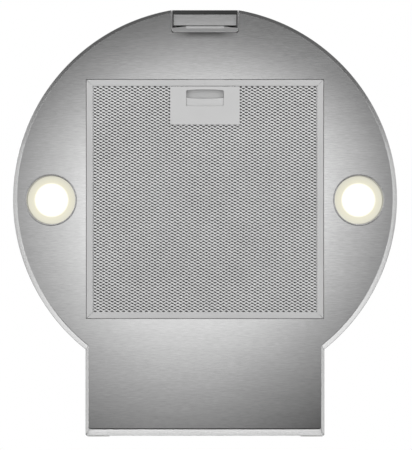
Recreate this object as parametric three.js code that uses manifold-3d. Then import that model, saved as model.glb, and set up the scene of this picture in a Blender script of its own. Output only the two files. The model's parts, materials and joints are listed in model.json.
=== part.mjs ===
// Wall chimney range hood with a round canopy: a shallow steel drum with a rectangular tail to the
// wall, a lift-out grease filter, two recessed lights, a push-button control, a blower in its case
// and a telescopic chimney. Millimetres, +Z up, +Y to the wall. The origin is the centre of the
// wall bracket's rear face, so the wall is the plane Y = 0.
import * as THREE from "three";
import { mergeVertices } from "three/addons/utils/BufferGeometryUtils.js";
import Module from "manifold-3d";

const wasm = await Module();
wasm.setup();

// ---- driving dimensions -------------------------------------------------------------------
const GAP = 0.3; // air between pieces that touch
const SHEET = 1.2; // canopy sheet
const THIN = 1; // inner sheet metal

const CANOPY_RADIUS = 225;
const CANOPY_CENTRE_Y = -278.5;
const TAIL_HALF = 140;
const CANOPY_REAR_Y = -1.2;
const BOTTOM_Z = -150;
const TOP_Z = -90;
const RIM_SIDE = 5.8; // width of the folded rim round the circle
const RIM_TAIL = 3.9; // and along the tail's sides
const RIM_REAR = 8.2; // and along the tail's rear
const ARC_STEP = 5; // degrees between the points of a large arc
const ROUND = 32; // sides of a round piece
const SMALL_ROUND = 16; // sides of a small one

const PANEL_Z = BOTTOM_Z + 1.5; // underside of the bottom panel
const PANEL_TOP = PANEL_Z + THIN;

const FILTER_HALF_X = 139;
const FILTER_FRONT_Y = -418.5;
const FILTER_REAR_Y = -138.5;
const FILTER_HEIGHT = 9;
const FILTER_FACE = 8.5; // width of the frame's visible face
const FILTER_GAP = 1; // air between the filter and the panel
const FILTER_TOP = PANEL_Z + FILTER_HEIGHT;
const FILTER_LIP = 0.8;

const HANDLE_HALF_X = 40.8;
const HANDLE_FRONT_Y = -409.5;
const HANDLE_REAR_Y = -365.7;
const RECESS_HALF_X = 22.1;
const RECESS_FRONT_Y = -407;
const RECESS_REAR_Y = -387.4;

const LIGHT_X = 180.5;
const LIGHT_Y = -277.5;
const LIGHT_RADIUS = 30.4;
const LIGHT_TOP_Z = PANEL_Z + 32.3;

const CONTROL_HALF_X = 39.5;
const CONTROL_FRONT_Y = -499;
const CONTROL_REAR_Y = -473.5;
const CONTROL_BOTTOM_Z = BOTTOM_Z - 3;
const CONTROL_WALL = 2.3;
const FASCIA_THICKNESS = 4.7;
const BUTTON_PITCH = 13;
const BUTTON_RADIUS = 4;
const BUTTON_Z = -118;

const FAN_Y = -160; // fan axis, parallel to X
const FAN_Z = 20;
const FAN_HALF_X = 52; // half width of the scroll
const FAN_RADIUS = 62;
const BLADE_COUNT = 18;
const SHAFT_RADIUS = 4;

const CASE_HALF_X = 112;
const CASE_FRONT_Y = -252;
const CASE_REAR_Y = -30;
const CASE_TOP = 150;

const COLLAR_Y = -120;
const COLLAR_RADIUS = 75;
const COLLAR_TOP = 215;
const FLAP_AXIS_Z = 172;
const FLAP_PIN_RADIUS = 2;

const CHIMNEY_HALF_X = 134;
const CHIMNEY_FRONT_Y = -268;
const CHIMNEY_TOP = 290;
const UPPER_BOTTOM = 130;
const UPPER_TOP = 560;

// ---- colours: [colour, roughness, metalness] -----------------------------------------------
const BRUSHED = [0xa9abac, 0.38, 1];
const BRIGHT_RIM = [0xd4d6d8, 0.3, 1];
const ALUMINIUM = [0xc9cbcc, 0.45, 1];
const GALVANISED = [0x9ea3a6, 0.55, 0.9];
const HANDLE_GREY = [0xc4c5c6, 0.55, 0.2];
const BLACK_GLASS = [0x101214, 0.15, 0];
const DARK_PLASTIC = [0x2c2e30, 0.6, 0];
const PALE_PLASTIC = [0xd9d9d6, 0.6, 0];
const FROSTED = [0xf4f0dc, 0.5, 0];
const BOARD_GREEN = [0x2f6b46, 0.6, 0];
const SPRING_STEEL = [0x8d9092, 0.35, 1];
const RUBBER_GREY = [0x55585a, 0.85, 0];

// ---- solid helpers ---------------------------------------------------------------------------
function toSolid(geometry) {
  const plain = geometry.clone();
  plain.deleteAttribute("normal");
  plain.deleteAttribute("uv");
  const merged = mergeVertices(plain, 1e-4);
  const mesh = new wasm.Mesh({
    numProp: 3,
    vertProperties: merged.attributes.position.array,
    triVerts: new Uint32Array(merged.index.array),
  });
  return new wasm.Manifold(mesh);
}

function toGeometry(solid) {
  const mesh = solid.getMesh();
  const geometry = new THREE.BufferGeometry();
  geometry.setAttribute("position", new THREE.BufferAttribute(mesh.vertProperties, mesh.numProp));
  geometry.setIndex(new THREE.BufferAttribute(mesh.triVerts, 1));
  geometry.computeVertexNormals();
  return geometry;
}

function box(x, y, z) {
  const geometry = new THREE.BoxGeometry(x[1] - x[0], y[1] - y[0], z[1] - z[0]);
  geometry.translate((x[0] + x[1]) / 2, (y[0] + y[1]) / 2, (z[0] + z[1]) / 2);
  return toSolid(geometry);
}

function centredBox(halfX, y, z) {
  return box([-halfX, halfX], y, z);
}

function prism(shape, z, curveSegments = 6) {
  const geometry = new THREE.ExtrudeGeometry(shape, {
    depth: z[1] - z[0],
    bevelEnabled: false,
    curveSegments,
  });
  geometry.translate(0, 0, z[0]);
  return toSolid(geometry);
}

// A prism whose outline lies in the YZ plane, drawn as (y, z), and whose length runs along X.
function prismX(shape, x) {
  const geometry = new THREE.ExtrudeGeometry(shape, { depth: x[1] - x[0], bevelEnabled: false });
  const axes = new THREE.Matrix4().makeBasis(
    new THREE.Vector3(0, 1, 0),
    new THREE.Vector3(0, 0, 1),
    new THREE.Vector3(1, 0, 0),
  );
  geometry.applyMatrix4(axes);
  geometry.translate(x[0], 0, 0);
  return toSolid(geometry);
}

function cylinderZ(x, y, radius, z, segments = ROUND) {
  const geometry = new THREE.CylinderGeometry(radius, radius, z[1] - z[0], segments);
  geometry.rotateX(Math.PI / 2);
  geometry.translate(x, y, (z[0] + z[1]) / 2);
  return toSolid(geometry);
}

function cylinderX(y, z, radius, x, segments = ROUND) {
  const geometry = new THREE.CylinderGeometry(radius, radius, x[1] - x[0], segments);
  geometry.rotateZ(Math.PI / 2);
  geometry.translate((x[0] + x[1]) / 2, y, z);
  return toSolid(geometry);
}

function cylinderY(x, z, radius, y, segments = SMALL_ROUND) {
  const geometry = new THREE.CylinderGeometry(radius, radius, y[1] - y[0], segments);
  geometry.translate(x, (y[0] + y[1]) / 2, z);
  return toSolid(geometry);
}

function ringZ(x, y, outer, inner, z, segments = ROUND) {
  const hole = cylinderZ(x, y, inner, [z[0] - 1, z[1] + 1], segments);
  return cylinderZ(x, y, outer, z, segments).subtract(hole);
}

function ringX(y, z, outer, inner, x, segments = ROUND) {
  const hole = cylinderX(y, z, inner, [x[0] - 1, x[1] + 1], segments);
  return cylinderX(y, z, outer, x, segments).subtract(hole);
}

function joined(solids) {
  return solids.reduce((whole, next) => whole.add(next));
}

function cut(solid, cutters) {
  return cutters.reduce((rest, next) => rest.subtract(next), solid);
}

function polygon(points) {
  return new THREE.Shape(points.map(([x, y]) => new THREE.Vector2(x, y)));
}

// Points on an arc: both ends, and every multiple of the step between them.
function arcPoints(centreX, centreY, radius, from, to, step = ARC_STEP) {
  const direction = Math.sign(to - from);
  const angles = [from];
  const first = direction > 0 ? Math.floor(from / step) + 1 : Math.ceil(from / step) - 1;
  for (let k = first; (to - k * step) * direction > 0.5; k += direction) {
    if ((k * step - from) * direction > 0.5) angles.push(k * step);
  }
  angles.push(to);
  return angles.map((angle) => {
    const radians = THREE.MathUtils.degToRad(angle);
    return [centreX + radius * Math.cos(radians), centreY + radius * Math.sin(radians)];
  });
}

const group = new THREE.Group();

function add(name, solid, [color, roughness, metalness]) {
  const material = new THREE.MeshStandardMaterial({ color, roughness, metalness });
  const mesh = new THREE.Mesh(toGeometry(solid), material);
  mesh.name = name;
  group.add(mesh);
}

// ---- canopy ------------------------------------------------------------------------------------
// The keyhole outline, seen along Z: a circle whose rear runs out into a tail. Each inset moves
// one stretch of the outline inwards.
function canopyOutline(side, tail, rear) {
  const radius = CANOPY_RADIUS - side;
  const half = TAIL_HALF - tail;
  const rearY = CANOPY_REAR_Y - rear;
  const junction = THREE.MathUtils.radToDeg(Math.acos(half / radius));
  const front = arcPoints(0, CANOPY_CENTRE_Y, radius, junction, -180 - junction);
  return polygon([[half, rearY], ...front, [-half, rearY]]);
}

// The control unit's footprint: open to the front, with two rounded rear corners.
function controlFootprint(offset, frontY) {
  const half = CONTROL_HALF_X + offset;
  const rearY = CONTROL_REAR_Y + offset;
  const corner = Math.max(3.5 + offset, 1);
  const right = arcPoints(half - corner, rearY - corner, corner, 0, 90, 30);
  const left = arcPoints(corner - half, rearY - corner, corner, 90, 180, 30);
  return polygon([[half, frontY], ...right, ...left, [-half, frontY]]);
}

function controlNotch() {
  return prism(controlFootprint(GAP, CONTROL_FRONT_Y - 20), [BOTTOM_Z - 5, TOP_Z + 5]);
}

function canopyShell() {
  const rimTop = BOTTOM_Z + SHEET;
  const body = prism(canopyOutline(0, 0, 0), [BOTTOM_Z, TOP_Z]);
  const inside = prism(canopyOutline(SHEET, SHEET, SHEET), [rimTop, TOP_Z + 1]);
  const mouth = prism(canopyOutline(RIM_SIDE, RIM_TAIL, RIM_REAR), [BOTTOM_Z - 1, rimTop + 1]);
  return cut(body, [inside, mouth, controlNotch()]);
}

function bottomPanel() {
  const inset = SHEET + GAP;
  const zRange = [PANEL_Z - 5, PANEL_TOP + 5];
  const opening = centredBox(
    FILTER_HALF_X + FILTER_GAP,
    [FILTER_FRONT_Y - FILTER_GAP, FILTER_REAR_Y + FILTER_GAP],
    zRange,
  );
  const lightHoles = [-1, 1].map((side) => cylinderZ(side * LIGHT_X, LIGHT_Y, 29.6, zRange));
  const sheet = prism(canopyOutline(inset, inset, inset), [PANEL_Z, PANEL_TOP]);
  return cut(sheet, [opening, ...lightHoles, controlNotch()]);
}

function topPlate() {
  const inset = SHEET + GAP;
  const zRange = [TOP_Z - 5, TOP_Z + 5];
  const airWay = centredBox(100, [-248, -145], zRange);
  const glandHole = cylinderZ(GLAND.x, GLAND.y, GLAND.radius + GAP, zRange, SMALL_ROUND);
  const sheet = prism(canopyOutline(inset, inset, inset), [TOP_Z - SHEET, TOP_Z]);
  return cut(sheet, [airWay, glandHole, controlNotch()]);
}

// An angle-section frame round the filter opening, with gaps for the rear lugs and the latch.
function filterRail() {
  const insideX = FILTER_HALF_X + 1.8;
  const front = FILTER_FRONT_Y - 1.8;
  const rear = FILTER_REAR_Y + 1.8;
  const foot = 8.5;
  const footZ = [PANEL_TOP + GAP, PANEL_TOP + GAP + THIN];
  const wallZ = [footZ[0], FILTER_TOP + 2.5];
  const flange = centredBox(insideX + foot, [front - foot, rear + foot], footZ);
  const wall = centredBox(insideX + THIN, [front - THIN, rear + THIN], wallZ);
  const hole = centredBox(insideX, [front, rear], [footZ[0] - 1, wallZ[1] + 1]);
  const lugGaps = [-1, 1].map((side) => {
    const x = [side * LUG.x - LUG.half - 2, side * LUG.x + LUG.half + 2];
    return box(x, [rear - 1, rear + 3], [footZ[1], PANEL_Z + 8]);
  });
  const latchGap = centredBox(34, [front - foot - 1, front + 1], [PANEL_TOP, wallZ[1] - 1.5]);
  return cut(flange.add(wall), [hole, ...lugGaps, latchGap]);
}

const LUG = { x: 95, half: 10 };

// The strip that the latch's tongue snaps over, fixed behind the panel's front edge.
function latchKeeper() {
  const z0 = PANEL_TOP + GAP;
  const ledge = centredBox(32, [-430, FILTER_FRONT_Y - FILTER_GAP], [z0, z0 + 1.5]);
  const stiffener = centredBox(32, [-430, -428.8], [z0, z0 + 6]);
  return ledge.add(stiffener);
}

// The upright sheet that parts the filter's air space from the electronics in the tail.
function tailPartition() {
  return centredBox(TAIL_HALF - 4, [-127, -126], [PANEL_TOP + GAP, TOP_Z - SHEET - GAP]);
}

function rearPad(side) {
  const x = [side * 125 - 13, side * 125 + 13];
  return box(x, [CANOPY_REAR_Y + GAP, 0], [BOTTOM_Z + 2, BOTTOM_Z + 42]);
}

// ---- hanging on the wall -------------------------------------------------------------------------
const HOOK = { x: 60, half: 9 };

// A flat plate on the wall with two upturned hooks.
function wallBracket() {
  const plate = centredBox(95, [-2, 0], [-25, 25]);
  const hooks = [-1, 1].map((side) => {
    const x = [side * HOOK.x - HOOK.half, side * HOOK.x + HOOK.half];
    const arm = box(x, [-8, -1.5], [-1, 1]);
    const lip = box(x, [-8, -6.4], [-1, 9]);
    return arm.add(lip);
  });
  const screwHoles = [-80, 80].flatMap((x) =>
    [-15, 15].map((z) => cylinderY(x, z, 2.75, [-3, 1])),
  );
  return cut(joined([plate, ...hooks]), screwHoles);
}

// The canopy's hanging plate: its slots' upper edges sit on the bracket's hooks.
function hangerPlate() {
  const foot = centredBox(105, [-28, -3.7], [TOP_Z + GAP, TOP_Z + GAP + 1.5]);
  const plate = centredBox(105, [-5.2, -3.7], [TOP_Z + GAP, 60]);
  const slots = [-1, 1].map((side) => {
    const x = [side * HOOK.x - HOOK.half - 3, side * HOOK.x + HOOK.half + 3];
    return box(x, [-7, -2], [-16, 1 + GAP]);
  });
  return cut(plate.add(foot), slots);
}

// ---- grease filter ------------------------------------------------------------------------------
const TONGUE = { half: 20, z: [PANEL_Z + 3.1, PANEL_Z + 3.9] };

// A frame of C section: two lips and a web, with a slot for the latch and two lugs at the rear.
function filterFrame() {
  const y = [FILTER_FRONT_Y, FILTER_REAR_Y];
  const block = centredBox(FILTER_HALF_X, y, [PANEL_Z, FILTER_TOP]);
  const channel = centredBox(
    FILTER_HALF_X - SHEET,
    [y[0] + SHEET, y[1] - SHEET],
    [PANEL_Z + FILTER_LIP, FILTER_TOP - FILTER_LIP],
  );
  const mouth = centredBox(
    FILTER_HALF_X - FILTER_FACE,
    [y[0] + FILTER_FACE, y[1] - FILTER_FACE],
    [PANEL_Z - 1, FILTER_TOP + 1],
  );
  const tongueSlot = centredBox(
    TONGUE.half + 1,
    [y[0] - 1, y[0] + 3],
    [TONGUE.z[0] - GAP, TONGUE.z[1] + GAP],
  );
  const lugs = [-1, 1].map((side) => {
    const x = [side * LUG.x - LUG.half, side * LUG.x + LUG.half];
    return box(x, [y[1] - 1, y[1] + 5.5], [PANEL_Z + 2.6, PANEL_Z + 4]);
  });
  return joined([cut(block, [channel, mouth, tongueSlot]), ...lugs]);
}

// One layer of the filter pack. The opening leaves room for the latch.
function filterLayer(z, opening) {
  const inset = SHEET + GAP;
  const sheet = centredBox(
    FILTER_HALF_X - inset,
    [FILTER_FRONT_Y + inset, FILTER_REAR_Y - inset],
    z,
  );
  if (!opening) return sheet;
  const room = centredBox(
    opening,
    [FILTER_FRONT_Y + inset - 1, HANDLE_REAR_Y - 3],
    [z[0] - 1, z[1] + 1],
  );
  return sheet.subtract(room);
}

// The face plate with the finger recess, two rails that guide the latch, and the spring's stop.
function filterHandlePlate() {
  const faceZ = [PANEL_Z, PANEL_Z + FILTER_LIP];
  const face = centredBox(HANDLE_HALF_X, [HANDLE_FRONT_Y, HANDLE_REAR_Y], faceZ);
  const recess = centredBox(
    RECESS_HALF_X,
    [RECESS_FRONT_Y, RECESS_REAR_Y],
    [PANEL_Z - 1, PANEL_Z + 2],
  );
  const rails = [-1, 1].map((side) => {
    const x = side > 0 ? [22.6, 24] : [-24, -22.6];
    return box(x, [HANDLE_FRONT_Y + GAP, -369.5], [faceZ[0], PANEL_Z + 7]);
  });
  const stop = centredBox(23, [-370.7, -369.5], [faceZ[0], PANEL_Z + 7]);
  return cut(face, [recess]).add(joined([...rails, stop]));
}

// The sliding latch: a thumb paddle behind the finger pocket, and the pocket's moving floor.
function latchSlider() {
  const paddle = polygon([
    [-396.6, PANEL_Z + 5.9],
    [-396.6, PANEL_Z + 3],
    [-394.8, PANEL_Z + 1.6],
    [-388.4, PANEL_Z + 1.1],
    [-388.4, PANEL_Z + 5.9],
  ]);
  const floor = centredBox(21.8, [-408.2, -396.6], [PANEL_Z + 4.9, PANEL_Z + 5.9]);
  return prismX(paddle, [-21.8, 21.8]).add(floor);
}

// A spring-steel strip under the frame's front member. It starts beside the slider's floor.
function latchTongue() {
  const strip = centredBox(TONGUE.half, [-424.5, -409.1], TONGUE.z);
  const riser = centredBox(TONGUE.half, [-409.9, -409.1], [TONGUE.z[0], PANEL_Z + 7]);
  const foot = centredBox(TONGUE.half, [-409.9, -400], [PANEL_Z + 6.2, PANEL_Z + 7]);
  return joined([strip, riser, foot]);
}

// A compression spring between the paddle and the stop.
class CoilAlongY extends THREE.Curve {
  constructor(radius, turns, y, z) {
    super();
    Object.assign(this, { radius, turns, y, z });
  }

  getPoint(t, target = new THREE.Vector3()) {
    const angle = t * this.turns * 2 * Math.PI;
    const y = this.y[0] + t * (this.y[1] - this.y[0]);
    return target.set(
      this.radius * Math.cos(angle),
      y,
      this.z + this.radius * Math.sin(angle),
    );
  }
}

function roundSection(radius, sides) {
  const corners = [];
  for (let k = 0; k < sides; k += 1) {
    const angle = (2 * Math.PI * k) / sides;
    corners.push([radius * Math.cos(angle), radius * Math.sin(angle)]);
  }
  return polygon(corners);
}

function tube(path, radius, sides, steps) {
  const geometry = new THREE.ExtrudeGeometry(roundSection(radius, sides), {
    steps,
    extrudePath: path,
  });
  return toSolid(geometry);
}

function latchSpring() {
  const path = new CoilAlongY(1.9, 5, [-387.6, -371.4], PANEL_Z + 3.9);
  return tube(path, 0.4, 5, 50);
}

// ---- lights --------------------------------------------------------------------------------------
function lightBezel(x) {
  const flange = ringZ(x, LIGHT_Y, LIGHT_RADIUS, 28.4, [PANEL_Z - 0.9, PANEL_Z - GAP]);
  const barrel = ringZ(x, LIGHT_Y, 29.2, 28.4, [PANEL_Z - 0.9, PANEL_Z + 10]);
  return flange.add(barrel);
}

function lightLens(x) {
  return cylinderZ(x, LIGHT_Y, 28.1, [PANEL_Z + 6.5, PANEL_Z + 8.5]);
}

function lightBoard(x) {
  return cylinderZ(x, LIGHT_Y, 24, [PANEL_Z + 11, PANEL_Z + 12.6], 24);
}

// A cup that holds the lamp, with three cooling fins round it.
function lightHousing(x) {
  const z0 = LIGHT_TOP_Z - 22;
  const cup = cylinderZ(x, LIGHT_Y, 26.5, [z0, LIGHT_TOP_Z], 24);
  const hollow = cylinderZ(x, LIGHT_Y, 24.6, [z0 - 1, z0 + 12], 24);
  const fins = [0, 1, 2].map((k) => {
    const z = z0 + 8 * k;
    return cylinderZ(x, LIGHT_Y, 29, [z, z + 2.5], 24);
  });
  return joined([cup, ...fins]).subtract(hollow);
}

// ---- control unit ---------------------------------------------------------------------------------
// A U-shaped housing the height of the canopy, open to the front and below.
function controlHousing() {
  const outer = prism(controlFootprint(0, CONTROL_FRONT_Y), [CONTROL_BOTTOM_Z, TOP_Z]);
  const inner = prism(
    controlFootprint(-CONTROL_WALL, CONTROL_FRONT_Y - 1),
    [CONTROL_BOTTOM_Z - 1, TOP_Z - SHEET],
  );
  const sill = centredBox(
    CONTROL_HALF_X - CONTROL_WALL - 0.5,
    [CONTROL_REAR_Y - 7.5, CONTROL_REAR_Y - CONTROL_WALL + 0.5],
    [CONTROL_BOTTOM_Z + 0.8, CONTROL_BOTTOM_Z + 2],
  );
  const cableHole = cylinderY(0, CABLE_Z, 4.2, [CONTROL_REAR_Y - 5, CONTROL_REAR_Y + 5]);
  return outer.subtract(inner).add(sill).subtract(cableHole);
}

function buttonXs() {
  return [-2, -1, 0, 1, 2].map((k) => k * BUTTON_PITCH);
}

function controlFascia() {
  const y = [CONTROL_FRONT_Y, CONTROL_FRONT_Y + FASCIA_THICKNESS];
  const z = [CONTROL_BOTTOM_Z + 0.4, TOP_Z - SHEET - GAP];
  const slab = centredBox(CONTROL_HALF_X - CONTROL_WALL - GAP, y, z);
  const holes = buttonXs().map((x) =>
    cylinderY(x, BUTTON_Z, BUTTON_RADIUS + GAP, [y[0] - 1, y[1] + 1]),
  );
  return cut(slab, holes);
}

function controlPlate() {
  const y = [CONTROL_FRONT_Y + FASCIA_THICKNESS + GAP, CONTROL_REAR_Y - 8];
  return centredBox(CONTROL_HALF_X - CONTROL_WALL - 1, y, [-151.8, -150.8]);
}

// A push button: a flush cap with a collar behind the fascia, and a stem to its switch.
function button(x) {
  const front = CONTROL_FRONT_Y + 0.2;
  const collarY = CONTROL_FRONT_Y + FASCIA_THICKNESS + GAP;
  const cap = cylinderY(x, BUTTON_Z, BUTTON_RADIUS, [front, collarY + 1.2]);
  const collar = cylinderY(x, BUTTON_Z, BUTTON_RADIUS + 1.2, [collarY, collarY + 1.2]);
  const stem = cylinderY(x, BUTTON_Z, 1.6, [collarY, collarY + 5], 12);
  return joined([cap, collar, stem]);
}

function controlBoard() {
  const board = centredBox(34, [-486.4, -484.8], [-144, -96]);
  const switches = buttonXs().map((x) =>
    box([x - 3, x + 3], [-487.4, -486], [BUTTON_Z - 3, BUTTON_Z + 3]),
  );
  return joined([board, ...switches]);
}

// ---- blower --------------------------------------------------------------------------------------
function blowerCase() {
  const z0 = TOP_Z + GAP;
  const outer = centredBox(CASE_HALF_X, [CASE_FRONT_Y, CASE_REAR_Y], [z0, CASE_TOP]);
  const inner = centredBox(
    CASE_HALF_X - THIN,
    [CASE_FRONT_Y + THIN, CASE_REAR_Y - THIN],
    [z0 - 1, CASE_TOP - THIN],
  );
  const outlet = cylinderZ(0, COLLAR_Y, 72.6, [CASE_TOP - 5, CASE_TOP + 5]);
  return cut(outer, [inner, outlet]);
}

// The scroll's outline in the YZ plane: a spiral that runs out into an upright outlet.
function scrollOutline(inset) {
  const wide = 90 - inset;
  const narrow = 70 - inset;
  const turns = 300;
  const points = [];
  for (let angle = 0; angle <= turns; angle += 15) {
    const radius = wide + ((narrow - wide) * angle) / turns;
    const radians = THREE.MathUtils.degToRad(-angle);
    points.push([FAN_Y + radius * Math.cos(radians), FAN_Z + radius * Math.sin(radians)]);
  }
  const [throatY] = points[points.length - 1];
  return { points, throatY, rearY: FAN_Y + wide };
}

function scrollSolid(inset, x, top) {
  const { points, throatY, rearY } = scrollOutline(inset);
  const outletFront = throatY + inset * 2 - 14;
  return prismX(polygon([[rearY, top], ...points, [outletFront, top]]), x);
}

// One half of the scroll, cut at the middle plane, with a round inlet in its side wall.
function scrollHalf(side) {
  const top = CASE_TOP - THIN - GAP;
  const x = side > 0 ? [GAP / 2, FAN_HALF_X] : [-FAN_HALF_X, -GAP / 2];
  const hollowX = side > 0 ? [-1, FAN_HALF_X - THIN] : [THIN - FAN_HALF_X, 1];
  const inlet = cylinderX(FAN_Y, FAN_Z, 52, [side * 60 - 20, side * 60 + 20]);
  const outer = scrollSolid(0, x, top);
  return cut(outer, [scrollSolid(THIN, hollowX, top + 5), inlet]);
}

// A bell ring round the inlet, on the outside of the scroll.
function inletRing(side) {
  const start = side * (FAN_HALF_X + GAP);
  const flangeX = side > 0 ? [start, start + 1] : [start - 1, start];
  const lipX = side > 0 ? [start, start + 6] : [start - 6, start];
  const flange = ringX(FAN_Y, FAN_Z, 62, 52, flangeX);
  const lip = ringX(FAN_Y, FAN_Z, 53.5, 52, lipX);
  return flange.add(lip);
}

function motorBody() {
  const can = cylinderX(FAN_Y, FAN_Z, 32, [-50, -8]);
  const boss = cylinderX(FAN_Y, FAN_Z, 12, [-52, -4], SMALL_ROUND);
  const bore = cylinderX(FAN_Y, FAN_Z, SHAFT_RADIUS + GAP, [-51, 1], SMALL_ROUND);
  return joined([can, boss]).subtract(bore);
}

// Three arms across the left inlet, which carry the motor.
function motorBracket() {
  const x = [-(FAN_HALF_X + 9), -(FAN_HALF_X + 7.5)];
  const hub = cylinderX(FAN_Y, FAN_Z, 24, x, 24);
  const arms = [90, 210, 330].map((angle) => {
    const arm = new THREE.BoxGeometry(x[1] - x[0], 12, 50);
    arm.translate((x[0] + x[1]) / 2, 0, 36);
    arm.rotateX(THREE.MathUtils.degToRad(angle));
    arm.translate(0, FAN_Y, FAN_Z);
    const foot = new THREE.BoxGeometry(9 - 1 - 2 * GAP, 12, 2);
    foot.translate(-(FAN_HALF_X + 1 + GAP + 0.1 + (9 - 1 - 2 * GAP) / 2), 0, 60);
    foot.rotateX(THREE.MathUtils.degToRad(angle));
    foot.translate(0, FAN_Y, FAN_Z);
    return toSolid(arm).add(toSolid(foot));
  });
  const spigot = cylinderX(FAN_Y, FAN_Z, 14, [x[0], -52 - GAP], SMALL_ROUND);
  return joined([hub, spigot, ...arms]);
}

// A double-inlet wheel: curved blades between two end rings, joined by a middle disc and a hub.
function impeller() {
  const outer = FAN_RADIUS;
  const inner = 51.5;
  const halfX = 45;
  const hub = ringX(FAN_Y, FAN_Z, 11, SHAFT_RADIUS + GAP, [0, 16], SMALL_ROUND);
  const disc = ringX(FAN_Y, FAN_Z, outer - 1, 10, [2, 4]);
  const endRings = [-1, 1].map((side) => {
    const x = side > 0 ? [halfX - 2, halfX] : [-halfX, 2 - halfX];
    return ringX(FAN_Y, FAN_Z, outer, inner, x);
  });
  const blades = [];
  for (let k = 0; k < BLADE_COUNT; k += 1) {
    blades.push(blade(inner + 0.5, outer - 0.5, halfX - 1, (360 * k) / BLADE_COUNT));
  }
  return joined([hub, disc, ...endRings, ...blades]);
}

function blade(inner, outer, halfX, angle) {
  const middle = (inner + outer) / 2;
  const shape = polygon([
    [inner, -2.2],
    [middle, 0.2],
    [outer, 4.2],
    [outer, 5.6],
    [inner, -0.8],
  ]);
  const geometry = new THREE.ExtrudeGeometry(shape, { depth: 2 * halfX, bevelEnabled: false });
  const axes = new THREE.Matrix4().makeBasis(
    new THREE.Vector3(0, 1, 0),
    new THREE.Vector3(0, 0, 1),
    new THREE.Vector3(1, 0, 0),
  );
  geometry.applyMatrix4(axes);
  geometry.translate(-halfX, 0, 0);
  geometry.rotateX(THREE.MathUtils.degToRad(angle));
  geometry.translate(0, FAN_Y, FAN_Z);
  return toSolid(geometry);
}

function motorShaft() {
  return cylinderX(FAN_Y, FAN_Z, SHAFT_RADIUS, [-50.5, 20], SMALL_ROUND);
}

function motorCapacitor() {
  return cylinderZ(-92, -60, 14, [TOP_Z + 6, TOP_Z + 62], 24);
}

// ---- duct ----------------------------------------------------------------------------------------
function collarFlange() {
  return ringZ(0, COLLAR_Y, 90, COLLAR_RADIUS + GAP, [CASE_TOP + GAP, CASE_TOP + 2]);
}

// The pipe that the duct slides over, with a ledge inside for the shut flaps.
function ductCollar() {
  const pipe = ringZ(0, COLLAR_Y, COLLAR_RADIUS, COLLAR_RADIUS - 1.5, [CASE_TOP + GAP, COLLAR_TOP]);
  const ledge = ringZ(0, COLLAR_Y, COLLAR_RADIUS - 0.5, 70, [FLAP_AXIS_Z - 4, FLAP_AXIS_Z - 2.8]);
  const pinHole = cylinderX(COLLAR_Y, FLAP_AXIS_Z, FLAP_PIN_RADIUS + GAP, [-80, 80], 16);
  return joined([pipe, ledge]).subtract(pinHole);
}

function flapPin() {
  return cylinderX(COLLAR_Y, FLAP_AXIS_Z, FLAP_PIN_RADIUS, [-77, 77], 16);
}

// A half-round flap with knuckles on the shared pin. The knuckles' spans are given along X.
function flap(side, spans) {
  const plateZ = [FLAP_AXIS_Z - 2.5, FLAP_AXIS_Z - 1.5];
  const clear = 4.4;
  const disc = cylinderZ(0, COLLAR_Y, 72.3, plateZ);
  const near = side > 0 ? [-80, COLLAR_Y + clear] : [COLLAR_Y - clear, 80];
  const keepOut = side > 0 ? [-300, near[1]] : [near[0], 100];
  const plate = disc.subtract(centredBox(100, keepOut, [plateZ[0] - 1, plateZ[1] + 1]));
  const knuckles = spans.map((x) => {
    const y = side > 0 ? [COLLAR_Y, COLLAR_Y + clear + 1] : [COLLAR_Y - clear - 1, COLLAR_Y];
    return cylinderX(COLLAR_Y, FLAP_AXIS_Z, 3.8, x, SMALL_ROUND).add(box(x, y, plateZ));
  });
  const bore = cylinderX(COLLAR_Y, FLAP_AXIS_Z, FLAP_PIN_RADIUS + GAP, [-80, 80], 16);
  return joined([plate, ...knuckles]).subtract(bore);
}

// ---- electronics ---------------------------------------------------------------------------------
const BOX_X = [-70, 50];
const BOX_Y = [-112, -24];
const BOX_Z = [PANEL_TOP + GAP, TOP_Z - 12];
const GLAND = { x: 118, y: -15, radius: 7 };

function electronicsBox() {
  const outer = box(BOX_X, BOX_Y, BOX_Z);
  const inner = box(
    [BOX_X[0] + 2, BOX_X[1] - 2],
    [BOX_Y[0] + 2, BOX_Y[1] - 2],
    [BOX_Z[0] + 2, BOX_Z[1] + 1],
  );
  return outer.subtract(inner);
}

function electronicsLid() {
  const z0 = BOX_Z[1] + GAP;
  const plate = box(BOX_X, BOX_Y, [z0, z0 + 2]);
  const plug = box(
    [BOX_X[0] + 2.4, BOX_X[1] - 2.4],
    [BOX_Y[0] + 2.4, BOX_Y[1] - 2.4],
    [z0 - 3, z0 + 1],
  );
  return plate.add(plug);
}

function powerBoard() {
  const z0 = BOX_Z[0] + 6;
  const board = box([BOX_X[0] + 5, BOX_X[1] - 5], [BOX_Y[0] + 5, BOX_Y[1] - 5], [z0, z0 + 1.6]);
  const transformer = box([-60, -25], [-100, -60], [z0 + 1, z0 + 22]);
  const relay = box([0, 16], [-95, -70], [z0 + 1, z0 + 15]);
  return joined([board, transformer, relay]);
}

function cableGland() {
  const { x, y, radius } = GLAND;
  const stem = cylinderZ(x, y, radius, [TOP_Z - 8, TOP_Z + 12], SMALL_ROUND);
  const collar = cylinderZ(x, y, radius + 2.5, [TOP_Z + GAP, TOP_Z + 3.5], 6);
  const bore = cylinderZ(x, y, 3.6, [TOP_Z - 20, TOP_Z + 20], 16);
  return joined([stem, collar]).subtract(bore);
}

const CABLE_Z = TOP_Z - 8;
const CABLE_END_Z = -114;

function cable(points, radius, steps) {
  const path = new THREE.CatmullRomCurve3(points.map((point) => new THREE.Vector3(...point)));
  return tube(path, radius, 8, steps);
}

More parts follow.
